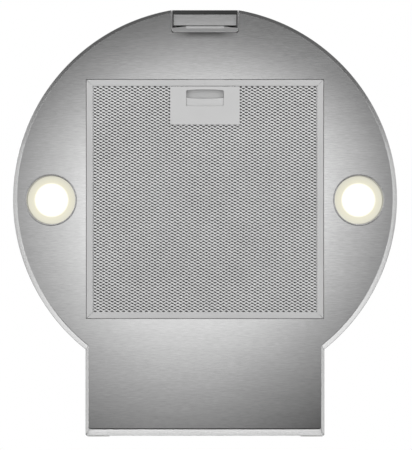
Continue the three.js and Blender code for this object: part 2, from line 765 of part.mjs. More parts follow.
// From the control board, round the inside of the canopy's right wall, to the electronics box.
function controlCable() {
  const bend = (angle) => arcPoints(0, CANOPY_CENTRE_Y, 214, angle, angle + 1)[0];
  const around = [-65, -45, -25, -5, 15, 30].map((angle) => [...bend(angle), CABLE_Z]);
  const start = [
    [0, -484.2, CABLE_Z],
    [0, -478, CABLE_Z],
    [0, -467, CABLE_Z],
    [12, -458, CABLE_Z],
  ];
  const end = [
    [150, -130, CABLE_Z],
    [118, -96, CABLE_Z - 6],
    [75, -80, CABLE_END_Z],
    [BOX_X[1] + 0.5, -80, CABLE_END_Z],
  ];
  return cable([...start, ...around, ...end], 2.5, 36);
}

// From the top of a lamp's housing to the electronics box.
function lightCable(side) {
  const edge = side > 0 ? BOX_X[1] + 0.5 : BOX_X[0] - 0.5;
  const y = -60;
  const points = [
    [side * LIGHT_X, LIGHT_Y, LIGHT_TOP_Z + 0.5],
    [side * LIGHT_X, LIGHT_Y, LIGHT_TOP_Z + 5],
    [side * 184, -255, -105],
    [side * 178, -215, -105],
    [side * 160, -160, -105],
    [side * 143, -124, -106],
    [side * 112, -80, -111],
    [edge + side * 20, y, CABLE_END_Z],
    [edge, y, CABLE_END_Z],
  ];
  return cable(points, 1.8, 20);
}

// ---- chimney -------------------------------------------------------------------------------------
// A U-shaped cover, open to the wall.
function chimneyCover(halfX, frontY, z) {
  const outer = centredBox(halfX, [frontY, -1], z);
  const inner = centredBox(halfX - THIN, [frontY + THIN, 1], [z[0] - 1, z[1] + 1]);
  return outer.subtract(inner);
}

function upperChimney() {
  const cover = chimneyCover(CHIMNEY_HALF_X - 2, CHIMNEY_FRONT_Y + 2, [UPPER_BOTTOM, UPPER_TOP]);
  const slots = [0, 1, 2, 3, 4, 5].map((k) => {
    const z = UPPER_TOP - 50 - 11 * k;
    return centredBox(CHIMNEY_HALF_X + 5, [-165, -105], [z, z + 3.5]);
  });
  return cut(cover, slots);
}

// The bracket that steadies the chimney at its top: a plate on the wall with two ears.
function chimneyBracket() {
  const half = CHIMNEY_HALF_X - 4;
  const z = [UPPER_TOP - 40, UPPER_TOP - 12];
  const outer = centredBox(half, [-28, 0], z);
  const inner = centredBox(half - 2, [-30, -2], [z[0] - 1, z[1] + 1]);
  const screwHoles = [-60, 60].map((x) => cylinderY(x, UPPER_TOP - 26, 2.75, [-5, 5]));
  return cut(outer, [inner, ...screwHoles]);
}

// ---- assembly ------------------------------------------------------------------------------------
add("canopy_shell", canopyShell(), BRIGHT_RIM);
add("bottom_panel", bottomPanel(), BRUSHED);
add("top_plate", topPlate(), BRUSHED);
add("filter_rail", filterRail(), GALVANISED);
add("latch_keeper", latchKeeper(), GALVANISED);
add("tail_partition", tailPartition(), GALVANISED);
add("rear_pad_left", rearPad(-1), PALE_PLASTIC);
add("rear_pad_right", rearPad(1), PALE_PLASTIC);

add("wall_bracket", wallBracket(), GALVANISED);
add("hanger_plate", hangerPlate(), GALVANISED);

add("filter_frame", filterFrame(), ALUMINIUM);
add("filter_mesh_lower", filterLayer([PANEL_Z + 1.1, PANEL_Z + 1.6], 27), ALUMINIUM);
add("filter_mesh_core", filterLayer([PANEL_Z + 3.1, PANEL_Z + 5.1], 27), ALUMINIUM);
add("filter_mesh_upper", filterLayer([FILTER_TOP - 1.6, FILTER_TOP - 1.1], 0), ALUMINIUM);
add("filter_handle_plate", filterHandlePlate(), HANDLE_GREY);
add("latch_slider", latchSlider(), HANDLE_GREY);
add("latch_tongue", latchTongue(), SPRING_STEEL);
add("latch_spring", latchSpring(), SPRING_STEEL);

for (const [name, side] of [["left", -1], ["right", 1]]) {
  add(`light_bezel_${name}`, lightBezel(side * LIGHT_X), BRIGHT_RIM);
  add(`light_lens_${name}`, lightLens(side * LIGHT_X), FROSTED);
  add(`light_board_${name}`, lightBoard(side * LIGHT_X), BOARD_GREEN);
  add(`light_housing_${name}`, lightHousing(side * LIGHT_X), ALUMINIUM);
}

add("control_housing", controlHousing(), ALUMINIUM);
add("control_fascia", controlFascia(), BLACK_GLASS);
add("control_plate", controlPlate(), BRUSHED);
add("control_board", controlBoard(), BOARD_GREEN);
["light", "low", "middle", "high", "off"].forEach((name, index) => {
  add(`button_${name}`, button(buttonXs()[index]), DARK_PLASTIC);
});

add("blower_case", blowerCase(), GALVANISED);
add("scroll_left", scrollHalf(-1), DARK_PLASTIC);
add("scroll_right", scrollHalf(1), DARK_PLASTIC);
add("inlet_ring_left", inletRing(-1), DARK_PLASTIC);
add("inlet_ring_right", inletRing(1), DARK_PLASTIC);
add("impeller", impeller(), PALE_PLASTIC);
add("motor_shaft", motorShaft(), SPRING_STEEL);
add("motor_body", motorBody(), GALVANISED);
add("motor_bracket", motorBracket(), GALVANISED);
add("motor_capacitor", motorCapacitor(), PALE_PLASTIC);

add("collar_flange", collarFlange(), GALVANISED);
add("duct_collar", ductCollar(), DARK_PLASTIC);
add("flap_pin", flapPin(), SPRING_STEEL);
add("flap_front", flap(-1, [[-60, -26], [26, 60]]), DARK_PLASTIC);
add("flap_rear", flap(1, [[-24, 24]]), DARK_PLASTIC);

add("electronics_box", electronicsBox(), PALE_PLASTIC);
add("electronics_lid", electronicsLid(), PALE_PLASTIC);
add("power_board", powerBoard(), BOARD_GREEN);
add("cable_gland", cableGland(), RUBBER_GREY);
add("control_cable", controlCable(), RUBBER_GREY);
add("light_cable_left", lightCable(-1), RUBBER_GREY);
add("light_cable_right", lightCable(1), RUBBER_GREY);

add("lower_chimney", chimneyCover(CHIMNEY_HALF_X, CHIMNEY_FRONT_Y, [TOP_Z + GAP, CHIMNEY_TOP]), BRUSHED);
add("upper_chimney", upperChimney(), BRUSHED);
add("chimney_bracket", chimneyBracket(), GALVANISED);

export default group;
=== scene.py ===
import json
import math

import bmesh
import bpy
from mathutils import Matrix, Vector

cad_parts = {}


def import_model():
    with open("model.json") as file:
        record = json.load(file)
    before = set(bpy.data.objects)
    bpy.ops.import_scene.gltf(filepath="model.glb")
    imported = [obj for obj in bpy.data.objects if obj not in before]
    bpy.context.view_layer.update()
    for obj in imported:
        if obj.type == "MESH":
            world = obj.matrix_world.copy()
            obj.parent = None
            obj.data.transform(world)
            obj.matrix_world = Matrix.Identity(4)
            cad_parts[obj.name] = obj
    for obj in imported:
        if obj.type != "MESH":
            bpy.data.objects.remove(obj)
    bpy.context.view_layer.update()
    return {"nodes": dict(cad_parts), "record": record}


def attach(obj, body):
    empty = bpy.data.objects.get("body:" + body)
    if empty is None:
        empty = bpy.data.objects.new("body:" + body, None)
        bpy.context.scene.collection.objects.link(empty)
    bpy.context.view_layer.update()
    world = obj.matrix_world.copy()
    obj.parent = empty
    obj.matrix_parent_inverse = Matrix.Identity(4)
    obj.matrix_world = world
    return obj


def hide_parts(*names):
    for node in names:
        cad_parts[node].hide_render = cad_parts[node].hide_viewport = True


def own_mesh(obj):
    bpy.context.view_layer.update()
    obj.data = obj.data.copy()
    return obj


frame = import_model()
cad = frame["nodes"]
scene = bpy.context.scene
MM = 0.001

# ---- dimensions -----------------------------------------------------------------------------
RADIUS = 225.0
CENTRE_Y = -278.5
TAIL_HALF = 140.0  # half the width of the tail that joins the round canopy to the wall
REAR_Y = -1.2
BOTTOM_Z = -150.0
TOP_Z = -90.0
PANEL_Z = -148.5
PANEL_ROUGH = 0.15  # smooth enough to mirror the light below
SHEET = 1.2

RIM_SIDE = 5.4  # visible width of the folded rim: round the circle,
RIM_TAIL = 3.7  # along the tail's sides,
RIM_REAR = 9.0  # and along the tail's rear
RIM_SLOPE = 24.0  # degrees, up towards the panel
TAIL_EASE = 0.91  # the rim's slope along the tail's sides, as a share of the slope elsewhere

FILTER_HALF_X = 139.0
FILTER_Y = (-418.5, -138.5)
FILTER_DEEP = 9.0
FILTER_TOP = PANEL_Z + FILTER_DEEP
FILTER_FACE = 7.6  # visible width of its frame
PANEL_GAP = 0.45  # between the filter and the panel

HANDLE_HALF_X = 40.8
HANDLE_Y = (-410.5, -365.7)
RECESS_HALF_X = 22.0
RECESS_Y = (-407.0, -387.4)
PADDLE_Y = -396.8  # where the finger pocket ends and the thumb paddle starts

LIGHT_X = 180.5
LIGHT_Y = -277.5
LENS_CORE = 18.9  # radius of the lit part of a lens
LENS_EDGE = 28.0  # and of its cream border
LAMP_HOLE = 29.6  # and of the panel's hole for it

CONTROL_HALF_X = 39.3
CONTROL_Y = (-499.2, -473.5)
CONTROL_Z = -153.0
CONTROL_WALL = 1.3
# The control unit's soft shadow on the panel is painted into the panel's colour.
SHADE_WIDTH = 7.5  # how far the shadow painted on the panel behind the unit reaches
SHADE_CORE = 16.0  # it fades out sideways, from here to the unit's side
SHADE_TONE = 0.15
BUTTON_Z = -118.0
BUTTON_PITCH = 13.0

CHIMNEY_HALF_X = 134.0
CHIMNEY_FRONT_Y = -268.0
CHIMNEY_SPLIT_Z = 290.0  # the lower cover's top
UPPER_FOOT_Z = 130.0
UPPER_TOP_Z = 560.0


# ---- camera ---------------------------------------------------------------------------------
CAMERA_PLACE = (0.0012, -0.2270, -1.900)
CAMERA_LENS = 119.55
CAMERA_SHIFT = 0.040


def make_camera():
    """A camera that looks straight up, with the front of the hood at the top of its view."""
    data = bpy.data.cameras.new("view_from_below")
    data.sensor_width = 36
    data.lens = CAMERA_LENS
    data.shift_y = CAMERA_SHIFT
    data.clip_start, data.clip_end = 0.02, 100
    camera = bpy.data.objects.new("view_from_below", data)
    camera.location = CAMERA_PLACE
    camera.rotation_euler = (math.pi, 0, 0)
    scene.collection.objects.link(camera)
    scene.camera = camera


make_camera()


# ---- mesh helpers ---------------------------------------------------------------------------
def new_object(name, mesh):
    obj = bpy.data.objects.new(name, mesh)
    scene.collection.objects.link(obj)
    return obj


def tidy_mesh(mesh):
    """Merges points that meet, drops loose edges, and turns every face outwards."""
    bm = bmesh.new()
    bm.from_mesh(mesh)
    bmesh.ops.remove_doubles(bm, verts=bm.verts, dist=1e-7)
    loose = [edge for edge in bm.edges if not edge.link_faces]
    bmesh.ops.delete(bm, geom=loose, context="EDGES")
    bmesh.ops.recalc_face_normals(bm, faces=bm.faces)
    bm.to_mesh(mesh)
    bm.free()


def build(name, verts, faces):
    """A mesh object from points in millimetres."""
    mesh = bpy.data.meshes.new(name)
    mesh.from_pydata([Vector(v) * MM for v in verts], [], faces)
    tidy_mesh(mesh)
    return new_object(name, mesh)


def baked(obj):
    """The object with its modifiers applied, as a plain mesh object of the same name."""
    graph = bpy.context.evaluated_depsgraph_get()
    mesh = bpy.data.meshes.new_from_object(obj.evaluated_get(graph))
    mesh.transform(obj.matrix_world)
    name, old = obj.name, obj.data
    bpy.data.objects.remove(obj)
    mesh.name = name
    tidy_mesh(mesh)
    if isinstance(old, bpy.types.Curve):
        bpy.data.curves.remove(old)
    return new_object(name, mesh)


def joined(name, objects):
    """One object from several, each of which is a separate closed shell."""
    bm = bmesh.new()
    for obj in objects:
        bm.from_mesh(obj.data)
        bpy.data.objects.remove(obj)
    mesh = bpy.data.meshes.new(name)
    bm.to_mesh(mesh)
    bm.free()
    return new_object(name, mesh)


def skin(loops, wrap_loops=True, wrap_path=True):
    """Vertices and quads between neighbouring loops of points, capped where the path is open."""
    count = len(loops[0])
    rows = len(loops) if wrap_loops else len(loops) - 1
    columns = count if wrap_path else count - 1
    faces = []
    for row in range(rows):
        above = (row + 1) % len(loops)
        for k in range(columns):
            after = (k + 1) % count
            near, far = row * count, above * count
            faces.append((near + k, near + after, far + after, far + k))
    if wrap_loops and not wrap_path:
        faces.append([row * count for row in range(len(loops))])
        faces.append([row * count + count - 1 for row in range(len(loops))])
    if wrap_path and not wrap_loops:
        faces.append(list(range(count)))
        faces.append([rows * count + k for k in range(count)])
    return [point for loop in loops for point in loop], faces


def prism(name, outline, z):
    """An outline drawn up from one height to the next."""
    loops = [[(x, y, height) for x, y in outline] for height in z]
    return build(name, *skin(loops, wrap_loops=False))


def block(name, x, y, z):
    return prism(name, [(x[0], y[0]), (x[1], y[0]), (x[1], y[1]), (x[0], y[1])], z)


def lathe(name, profile, centre, steps=96, axis="Z"):
    """A closed profile of (radius, height) turned about the Z or Y axis through the centre."""
    loops = []
    for radius, height in profile:
        loop = []
        for k in range(steps):
            angle = 2 * math.pi * k / steps
            across, up = radius * math.cos(angle), radius * math.sin(angle)
            point = (across, up, height) if axis == "Z" else (across, height, up)
            loop.append(Vector(centre) + Vector(point))
        loops.append(loop)
    return build(name, *skin(loops))


def lathe_solid(name, profile, centre, steps=64, axis="Z"):
    """As lathe, for an open profile whose two ends are closed by caps."""
    obj = lathe(name, profile, centre, steps, axis)
    bm = bmesh.new()
    bm.from_mesh(obj.data)
    bridge = [face for face in bm.faces if face.index >= (len(profile) - 1) * steps]
    bmesh.ops.delete(bm, geom=bridge, context="FACES_ONLY")
    edges = [edge for edge in bm.edges if edge.is_boundary]
    bmesh.ops.holes_fill(bm, edges=edges)
    bmesh.ops.recalc_face_normals(bm, faces=bm.faces)
    bm.to_mesh(obj.data)
    bm.free()
    return obj


def arc(cx, cy, radius, start, end, steps):
    """Points on an arc, in degrees, both ends included."""
    points = []
    for k in range(steps + 1):
        angle = math.radians(start + (end - start) * k / steps)
        points.append((cx + radius * math.cos(angle), cy + radius * math.sin(angle)))
    return points


def circle(x, y, radius, steps):
    """Points round a whole circle."""
    return arc(x, y, radius, 0, 360 * (steps - 1) / steps, steps - 1)


def rounded_box(half_x, y, radius, steps=5):
    """A rectangle's outline with round corners, centred on X = 0."""
    front, rear = y
    turns = [
        (half_x - radius, front + radius, -90),
        (half_x - radius, rear - radius, 0),
        (radius - half_x, rear - radius, 90),
        (radius - half_x, front + radius, 180),
    ]
    return [p for cx, cy, start in turns for p in arc(cx, cy, radius, start, start + 90, steps)]


def plate(name, loops, z, edge=0.2):
    """A flat sheet with holes and slightly rounded edges."""
    curve = bpy.data.curves.new(name, "CURVE")
    curve.dimensions = "2D"
    curve.fill_mode = "BOTH"
    for loop in loops:
        spline = curve.splines.new("POLY")
        spline.points.add(len(loop) - 1)
        for point, (x, y) in zip(spline.points, loop):
            point.co = (x * MM, y * MM, 0, 1)
        spline.use_cyclic_u = True
    curve.extrude = ((z[1] - z[0]) / 2 - edge) * MM
    curve.bevel_depth = edge * MM
    curve.bevel_resolution = 1
    curve.offset = -edge * MM
    obj = new_object(name, curve)
    obj.location.z = (z[0] + z[1]) / 2 * MM
    bpy.context.view_layer.update()
    return baked(obj)


def cut(obj, cutters):
    """The object less the cutters, which are used up."""
    for cutter in cutters:
        modifier = obj.modifiers.new("cut", "BOOLEAN")
        modifier.object = cutter
        modifier.solver = "EXACT"
    result = baked(obj)
    for cutter in cutters:
        bpy.data.objects.remove(cutter)
    return result


def piece(obj, body, slot, stands_for, bevel=0.0, segments=2, angle=35, finish=None):
    """Finishes a piece: smooth shading, rounded edges, its slot's material or a finish, and its
    body.

    A finish is a variant of the slot's own material.
    """
    obj.data.polygons.foreach_set("use_smooth", [True] * len(obj.data.polygons))
    if bevel:
        modifier = obj.modifiers.new("rounded_edges", "BEVEL")
        modifier.width = bevel * MM
        modifier.segments = segments
        modifier.limit_method = "ANGLE"
        modifier.angle_limit = math.radians(angle)
        modifier.harden_normals = True
    else:
        obj.data.set_sharp_from_angle(angle=math.radians(angle))
        obj.modifiers.new("even_normals", "WEIGHTED_NORMAL").keep_sharp = True
    obj.data.materials.clear()
    obj.data.materials.append(finish or MATERIALS[slot])
    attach(obj, body)
    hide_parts(stands_for)


# ---- materials ------------------------------------------------------------------------------
class Sketch:
    """A node tree under construction, with short calls for arithmetic."""

    def __init__(self, tree):
        self.nodes, self.links = tree.nodes, tree.links

    def maths(self, operation, a, b=0):
        node = self.nodes.new("ShaderNodeMath")
        node.operation = operation
        for socket, value in zip(node.inputs, (a, b)):
            if isinstance(value, (int, float)):
                socket.default_value = value
            else:
                self.links.new(value, socket)
        return node.outputs["Value"]

    def axes(self, place):
        """The X and the Y of a place."""
        node = self.nodes.new("ShaderNodeSeparateXYZ")
        self.links.new(place, node.inputs["Vector"])
        return node.outputs["X"], node.outputs["Y"]

    def length(self, a, b):
        """The distance that a and b make at right angles."""
        squares = self.maths("ADD", self.maths("MULTIPLY", a, a), self.maths("MULTIPLY", b, b))
        return self.maths("SQRT", squares)

    def mix(self, a, b, share):
        """The share of a plus the rest of b."""
        rest = self.maths("MULTIPLY", b, 1 - share)
        return self.maths("ADD", self.maths("MULTIPLY", a, share), rest)

    def curve(self, value, points):
        """A value read off a curve through the points, each as (place, level)."""
        node = self.nodes.new("ShaderNodeFloatCurve")
        far, top = points[-1][0], max(level for _, level in points)
        spots = [(place / far, level / top) for place, level in points]
        line = node.mapping.curves[0].points
        line[0].location, line[-1].location = spots[0], spots[-1]
        for spot in spots[1:-1]:
            line.new(*spot)
        node.mapping.update()
        self.links.new(self.maths("DIVIDE", value, far), node.inputs["Value"])
        return self.maths("MULTIPLY", node.outputs["Value"], top)


class Paint(Sketch):
    """A node material under construction, with short calls for the nodes that it needs."""

    def __init__(self, name, metallic=0.0, **sockets):
        self.material = bpy.data.materials.new(name)
        self.material.use_nodes = True
        super().__init__(self.material.node_tree)
        self.shader = self.nodes["Principled BSDF"]
        self.shader.inputs["Metallic"].default_value = metallic
        for socket, value in sockets.items():
            self.shader.inputs[socket.replace("_", " ")].default_value = value
        self.place = self.nodes.new("ShaderNodeTexCoord").outputs["Object"]

    def scaled(self, scale):
        """The place on the object, in metres, times one number or one for each axis."""
        node = self.nodes.new("ShaderNodeMapping")
        node.inputs["Scale"].default_value = scale if isinstance(scale, tuple) else (scale,) * 3
        self.links.new(self.place, node.inputs["Vector"])
        return node.outputs["Vector"]

    def noise(self, scale, detail=3.0, roughness=0.55):
        """Noise in cycles per metre, with one scale or one for each axis."""
        node = self.nodes.new("ShaderNodeTexNoise")
        node.inputs["Scale"].default_value = 1
        node.inputs["Detail"].default_value = detail
        node.inputs["Roughness"].default_value = roughness
        self.links.new(self.scaled(scale), node.inputs["Vector"])
        return node.outputs["Fac"]

    def cells(self, scale, output="Distance"):
        """A pattern of cells: the distance from a cell's middle, or the cell's colour."""
        node = self.nodes.new("ShaderNodeTexVoronoi")
        node.inputs["Scale"].default_value = 1
        self.links.new(self.scaled(scale), node.inputs["Vector"])
        return node.outputs[output]

    def spread(self, value, low, high, start=0.3, end=0.7):
        """A value that goes from low to high as the given one goes from start to end."""
        node = self.nodes.new("ShaderNodeMapRange")
        node.inputs["From Min"].default_value = start
        node.inputs["From Max"].default_value = end
        node.inputs["To Min"].default_value = low
        node.inputs["To Max"].default_value = high
        self.links.new(value, node.inputs["Value"])
        return node.outputs["Result"]

    def blend(self, factor, low, high):
        """A colour between two, each a triple or a socket."""
        node = self.nodes.new("ShaderNodeMix")
        node.data_type = "RGBA"
        self.links.new(factor, node.inputs["Factor"])
        for socket, colour in ((node.inputs[6], low), (node.inputs[7], high)):
            if isinstance(colour, tuple):
                socket.default_value = (*colour, 1)
            else:
                self.links.new(colour, socket)
        return node.outputs[2]

    def colour(self, value):
        self.links.new(value, self.shader.inputs["Base Color"])

    def rough(self, value):
        self.links.new(value, self.shader.inputs["Roughness"])

    def bump(self, height, strength, depth):
        node = self.nodes.new("ShaderNodeBump")
        node.inputs["Strength"].default_value = strength
        node.inputs["Distance"].default_value = depth
        self.links.new(height, node.inputs["Height"])
        self.links.new(node.outputs["Normal"], self.shader.inputs["Normal"])


def grey(value):
    return (value, value, value)


def painted_control_shadow(paint):
    """How deep a place on the panel is in the shadow painted behind the control unit, from 0 to 1.
    """
    x, y = paint.axes(paint.place)
    behind = paint.maths("SUBTRACT", y, CONTROL_Y[1] * MM)
    near = paint.spread(behind, 1, 0, 0, SHADE_WIDTH * MM)
    between = paint.spread(paint.maths("ABSOLUTE", x), 1, 0, SHADE_CORE * MM, CONTROL_HALF_X * MM)
    return paint.maths("MULTIPLY", near, between)


def brushed(name, dark, light, roughness, grain=2200.0, along=26.0, axes="X", with_painted_shadow=False):
    """Sheet metal with fine grain along the named axes, broader streaks, and a faint haze.

    Where asked, a soft shadow is painted into the colour just behind the control unit.
    """
    paint = Paint(name, metallic=1.0)
    fine = paint.noise(tuple(along if axis in axes else grain for axis in "XYZ"), 2.0, 0.6)
    broad = paint.noise(tuple(along / 5 if axis in axes else grain / 9 for axis in "XYZ"))
    haze = paint.noise(9.0)
    streaks = paint.mix(fine, broad, 0.75)
    tone = paint.blend(paint.spread(streaks, 0, 1), grey(dark), grey(light))
    # Paints the control unit's soft shadow into the sheet's colour.
    if with_painted_shadow:
        tone = paint.blend(painted_control_shadow(paint), tone, grey(SHADE_TONE))
    paint.colour(tone)
    uneven = paint.mix(streaks, haze, 0.5)
    paint.rough(paint.spread(uneven, roughness - 0.02, roughness + 0.02))
    paint.bump(fine, 0.03, 0.00002)
    return paint.material


def galvanised():
    """Zinc-coated sheet with its pattern of crystals."""
    paint = Paint("inner_sheet", metallic=0.85)
    split = paint.nodes.new("ShaderNodeSeparateColor")
    paint.links.new(paint.cells(160.0, "Color"), split.inputs["Color"])
    mottle = paint.noise(700.0)
    mixed = paint.mix(split.outputs["Red"], mottle, 0.6)
    paint.colour(paint.blend(paint.spread(mixed, 0, 1), (0.42, 0.44, 0.45), (0.60, 0.62, 0.63)))
    paint.rough(paint.spread(mixed, 0.42, 0.62))
    paint.bump(mottle, 0.12, 0.00005)
    return paint.material


def moulded(name, dark, light, roughness, grain=2600.0, **sockets):
    """Moulded plastic or rubber with a fine spark-eroded texture and slight unevenness."""
    paint = Paint(name, **sockets)
    texture = paint.noise(grain, 2.0)
    cloud = paint.noise(22.0, 2.0)
    mixed = paint.mix(texture, cloud, 0.5)
    paint.colour(paint.blend(paint.spread(mixed, 0, 1), dark, light))
    paint.rough(paint.spread(cloud, roughness - 0.05, roughness + 0.05))
    paint.bump(texture, 0.18, 0.00005)
    return paint.material


def satin(name, dark, light, roughness, grain=1400.0, metallic=1.0):
    """Satin aluminium or drawn steel with a fine even grain."""
    paint = Paint(name, metallic=metallic)
    texture = paint.noise(grain)
    cloud = paint.noise(30.0, 2.0)
    mixed = paint.mix(texture, cloud, 0.5)
    paint.colour(paint.blend(paint.spread(mixed, 0, 1), grey(dark), grey(light)))
    paint.rough(paint.spread(mixed, roughness - 0.05, roughness + 0.05))
    paint.bump(texture, 0.08, 0.00004)
    return paint.material


def circuit_board():
    """Green lacquer with paler copper tracks under it."""
    paint = Paint("circuit_board", Roughness=0.35)
    tracks = paint.cells(240.0)
    weave = paint.noise(900.0)
    track = paint.spread(tracks, 1, 0, 0.30, 0.36)
    paint.colour(paint.blend(track, (0.035, 0.16, 0.08), (0.09, 0.30, 0.15)))
    paint.rough(paint.spread(weave, 0.3, 0.45))
    paint.bump(tracks, 0.15, 0.0001)
    return paint.material


def lit_lens():
    """A frosted diffuser whose middle is lit and whose border is cream."""
    paint = Paint("light_lens", Roughness=0.45)
    x, y = paint.axes(paint.place)
    across = paint.maths("SUBTRACT", paint.maths("ABSOLUTE", x), LIGHT_X * MM)
    along = paint.maths("SUBTRACT", y, LIGHT_Y * MM)
    distance = paint.length(across, along)
    core = paint.spread(distance, 1, 0, (LENS_CORE - 3.0) * MM, (LENS_CORE + 1.8) * MM)
    border = paint.spread(distance, 0, 1, LENS_CORE * MM, LENS_EDGE * MM)
    frost = paint.noise(1500.0)
    cream = paint.blend(border, (0.76, 0.735, 0.57), (0.70, 0.685, 0.59))
    glow = paint.blend(core, cream, (1.6, 1.6, 1.55))
    paint.links.new(glow, paint.shader.inputs["Emission Color"])
    paint.shader.inputs["Emission Strength"].default_value = 0.86
    paint.colour(paint.blend(paint.spread(frost, 0, 1), (0.16, 0.15, 0.12), (0.20, 0.19, 0.15)))
    paint.bump(frost, 0.2, 0.00005)
    return paint.material


PANEL_GRAIN = {"grain": 950.0, "along": 110.0}

MATERIALS = {
    "brushed_panel": brushed("brushed_panel", 0.52, 0.63, PANEL_ROUGH, **PANEL_GRAIN),
    "rim_steel": brushed("rim_steel", 0.76, 0.83, 0.20, grain=1500.0, axes="XY"),
    "inner_sheet": galvanised(),
    "filter_aluminium": satin("filter_aluminium", 0.50, 0.55, 0.55, metallic=0.2),
    "filter_mesh": satin("filter_mesh", 0.75, 0.85, 0.5, grain=900.0, metallic=0.2),
    "handle_plastic": moulded("handle_plastic", grey(0.49), grey(0.52), 0.5),
    "light_trim": satin("light_trim", 0.44, 0.54, 0.25),
    "light_lens": lit_lens(),
    "control_metal": brushed("control_metal", 0.46, 0.56, 0.30),
    "black_glass": moulded("black_glass", grey(0.022), grey(0.035), 0.12, Coat_Weight=0.4),
    "button_plastic": moulded("button_plastic", grey(0.10), grey(0.15), 0.42),
    "dark_plastic": moulded("dark_plastic", grey(0.045), grey(0.075), 0.5),
    "pale_plastic": moulded("pale_plastic", (0.66, 0.66, 0.63), (0.76, 0.76, 0.74), 0.5),
    "circuit_board": circuit_board(),
    "spring_steel": satin("spring_steel", 0.42, 0.55, 0.3, grain=2400.0),
    "cable_rubber": moulded("cable_rubber", grey(0.20), grey(0.26), 0.65),
}

# Finishes for the pieces that differ a little from the rest of their slot. Three carry painted
# shade: the panel's soft shadow behind the control unit, the dark deeper layers of the mesh, and
# the darker finger pocket.
VARIANTS = {
    "panel_steel_painted_shade": brushed("panel_steel_painted_shade", 0.52, 0.63, PANEL_ROUGH, with_painted_shadow=True, **PANEL_GRAIN),
    "cover_steel": brushed("cover_steel", 0.68, 0.80, PANEL_ROUGH, **PANEL_GRAIN),
    "chimney_steel": brushed("chimney_steel", 0.55, 0.62, 0.30, grain=1500.0, along=8.0, axes="Z"),
    # The mesh's two deeper layers are painted dark, as the shade that falls on them.
    "mesh_in_painted_shade": satin("mesh_in_painted_shade", 0.115, 0.155, 0.5, grain=900.0, metallic=0.2),
    # The finger pocket's floor is the same plastic, painted darker as the shade in the recess.
    "pocket_painted_shade": moulded("pocket_painted_shade", grey(0.41), grey(0.45), 0.55),
}


# ---- canopy ---------------------------------------------------------------------------------
NOTCH_HALF = CONTROL_HALF_X + 0.5
ARC_STEPS = 110
TAIL_SHARES = (0.012, 0.25, 0.5, 0.75, 0.985)  # points along the tail, close set at its two ends
CORNER = 6.0  # length of the short stretch on each side of a rear corner
RIM_SHIFT = 0.25  # how far the inner circle moves to the front, as a share of the rim's width


def keyhole(side, tail, rear, relief=False):
    """The canopy's outline, from the right of the control's notch round the rear to its left.

    Each inset moves one stretch inwards. Relief opens a small notch at the two rear corners.
    """
    radius, half, y_rear = RADIUS - side, TAIL_HALF - tail, REAR_Y - rear
    y_centre = CENTRE_Y - RIM_SHIFT * side
    start = math.asin(NOTCH_HALF / radius) - math.pi / 2
    junction = math.acos(half / radius)
    points = []
    for k in range(ARC_STEPS + 1):
        angle = start + (junction - start) * k / ARC_STEPS
        points.append((radius * math.cos(angle), y_centre + radius * math.sin(angle)))
    y_first, y_last = points[-1][1], y_rear - CORNER
    points += [(half, y_first + (y_last - y_first) * share) for share in TAIL_SHARES]
    if relief:
        points += [(half, y_rear + 2.0), (half - 1.2, y_rear + 1.0), (half - 2.4, y_rear)]
    else:
        turn = max(1.6 - tail, 0.2)
        cut_in = 0.3 * turn
        points += [(half, y_rear - turn), (half - cut_in, y_rear - cut_in), (half - turn, y_rear)]
    points.append((half - CORNER, y_rear))
    return points + [(-x, y) for x, y in reversed(points)]


def footprint(half, rear, front, corner, steps=5):
    """The control's outline: open to the front, with two rounded rear corners."""
    right = arc(half - corner, rear - corner, corner, 0, 90, steps)
    left = arc(corner - half, rear - corner, corner, 90, 180, steps)
    return [(half, front), *right, *left, (-half, front)]


REAR_POINTS = 3  # the outline's points on each half of the rear


def canopy_body():
    """A drum whose lower edge is folded into a rim that slopes up towards the panel."""
    bend, lean = 0.8, math.radians(RIM_SLOPE)
    # The outer wall's section from the top down, each as (height, inset).
    profile = [(TOP_Z, 0.6), (TOP_Z - 0.18, 0.18), (TOP_Z - 0.6, 0)]
    for k in range(6):
        angle = (math.pi / 2 - lean) * k / 5
        profile.append((BOTTOM_Z + bend - bend * math.sin(angle), bend - bend * math.cos(angle)))
    loops = [[(x, y, z) for x, y in keyhole(inset, inset, inset)] for z, inset in profile]
    low, start = profile[-1]
    # The rim's rolled inner edge, each as (share of the rim's width, height over its slope).
    hem = [(0.955, 0), (0.985, 0.05), (1.0, 0.16), (1.0, 0.34), (0.97, 0.5), (0.86, 0.6)]
    for share, up in hem:
        outline = keyhole(RIM_SIDE * share, RIM_TAIL * share, RIM_REAR * share, relief=share > 0.85)
        loop = []
        for k, (x, y) in enumerate(outline):
            place = min(k, len(outline) - 1 - k)
            if place <= ARC_STEPS:
                depth = RADIUS - math.hypot(x, y - CENTRE_Y)
            elif place < len(outline) // 2 - REAR_POINTS:
                depth = TAIL_EASE * (TAIL_HALF - abs(x))
            else:
                depth = REAR_Y - y
            loop.append((x, y, low + up + (depth - start) * math.tan(lean)))
        loops.append(loop)
    for z, inset in ((BOTTOM_Z + 1.8, 1.9), (BOTTOM_Z + 2.8, SHEET), (TOP_Z, SHEET)):
        loops.append([(x, y, z) for x, y in keyhole(inset, inset, inset)])
    body = build("canopy_body", *skin(loops, wrap_path=False))
    piece(body, "hood", "rim_steel", "canopy_shell", angle=14)


def notched(side, tail, rear, corner_cut=0.0):
    """A sheet's outline inside the shell, with the control's notch cut into its front."""
    outline = keyhole(side, tail, rear)
    if corner_cut:
        half, y_rear = TAIL_HALF - tail, REAR_Y - rear
        outline = [p for p in outline if p[1] < y_rear - CORNER]
        right = [(half, y_rear - corner_cut), (half - corner_cut, y_rear)]
        split = len(outline) // 2
        outline = outline[:split] + right + [(-x, y) for x, y in reversed(right)] + outline[split:]
    notch = footprint(NOTCH_HALF, CONTROL_Y[1] + 0.4, 0, 3.8)[1:-1]
    return outline + list(reversed(notch))


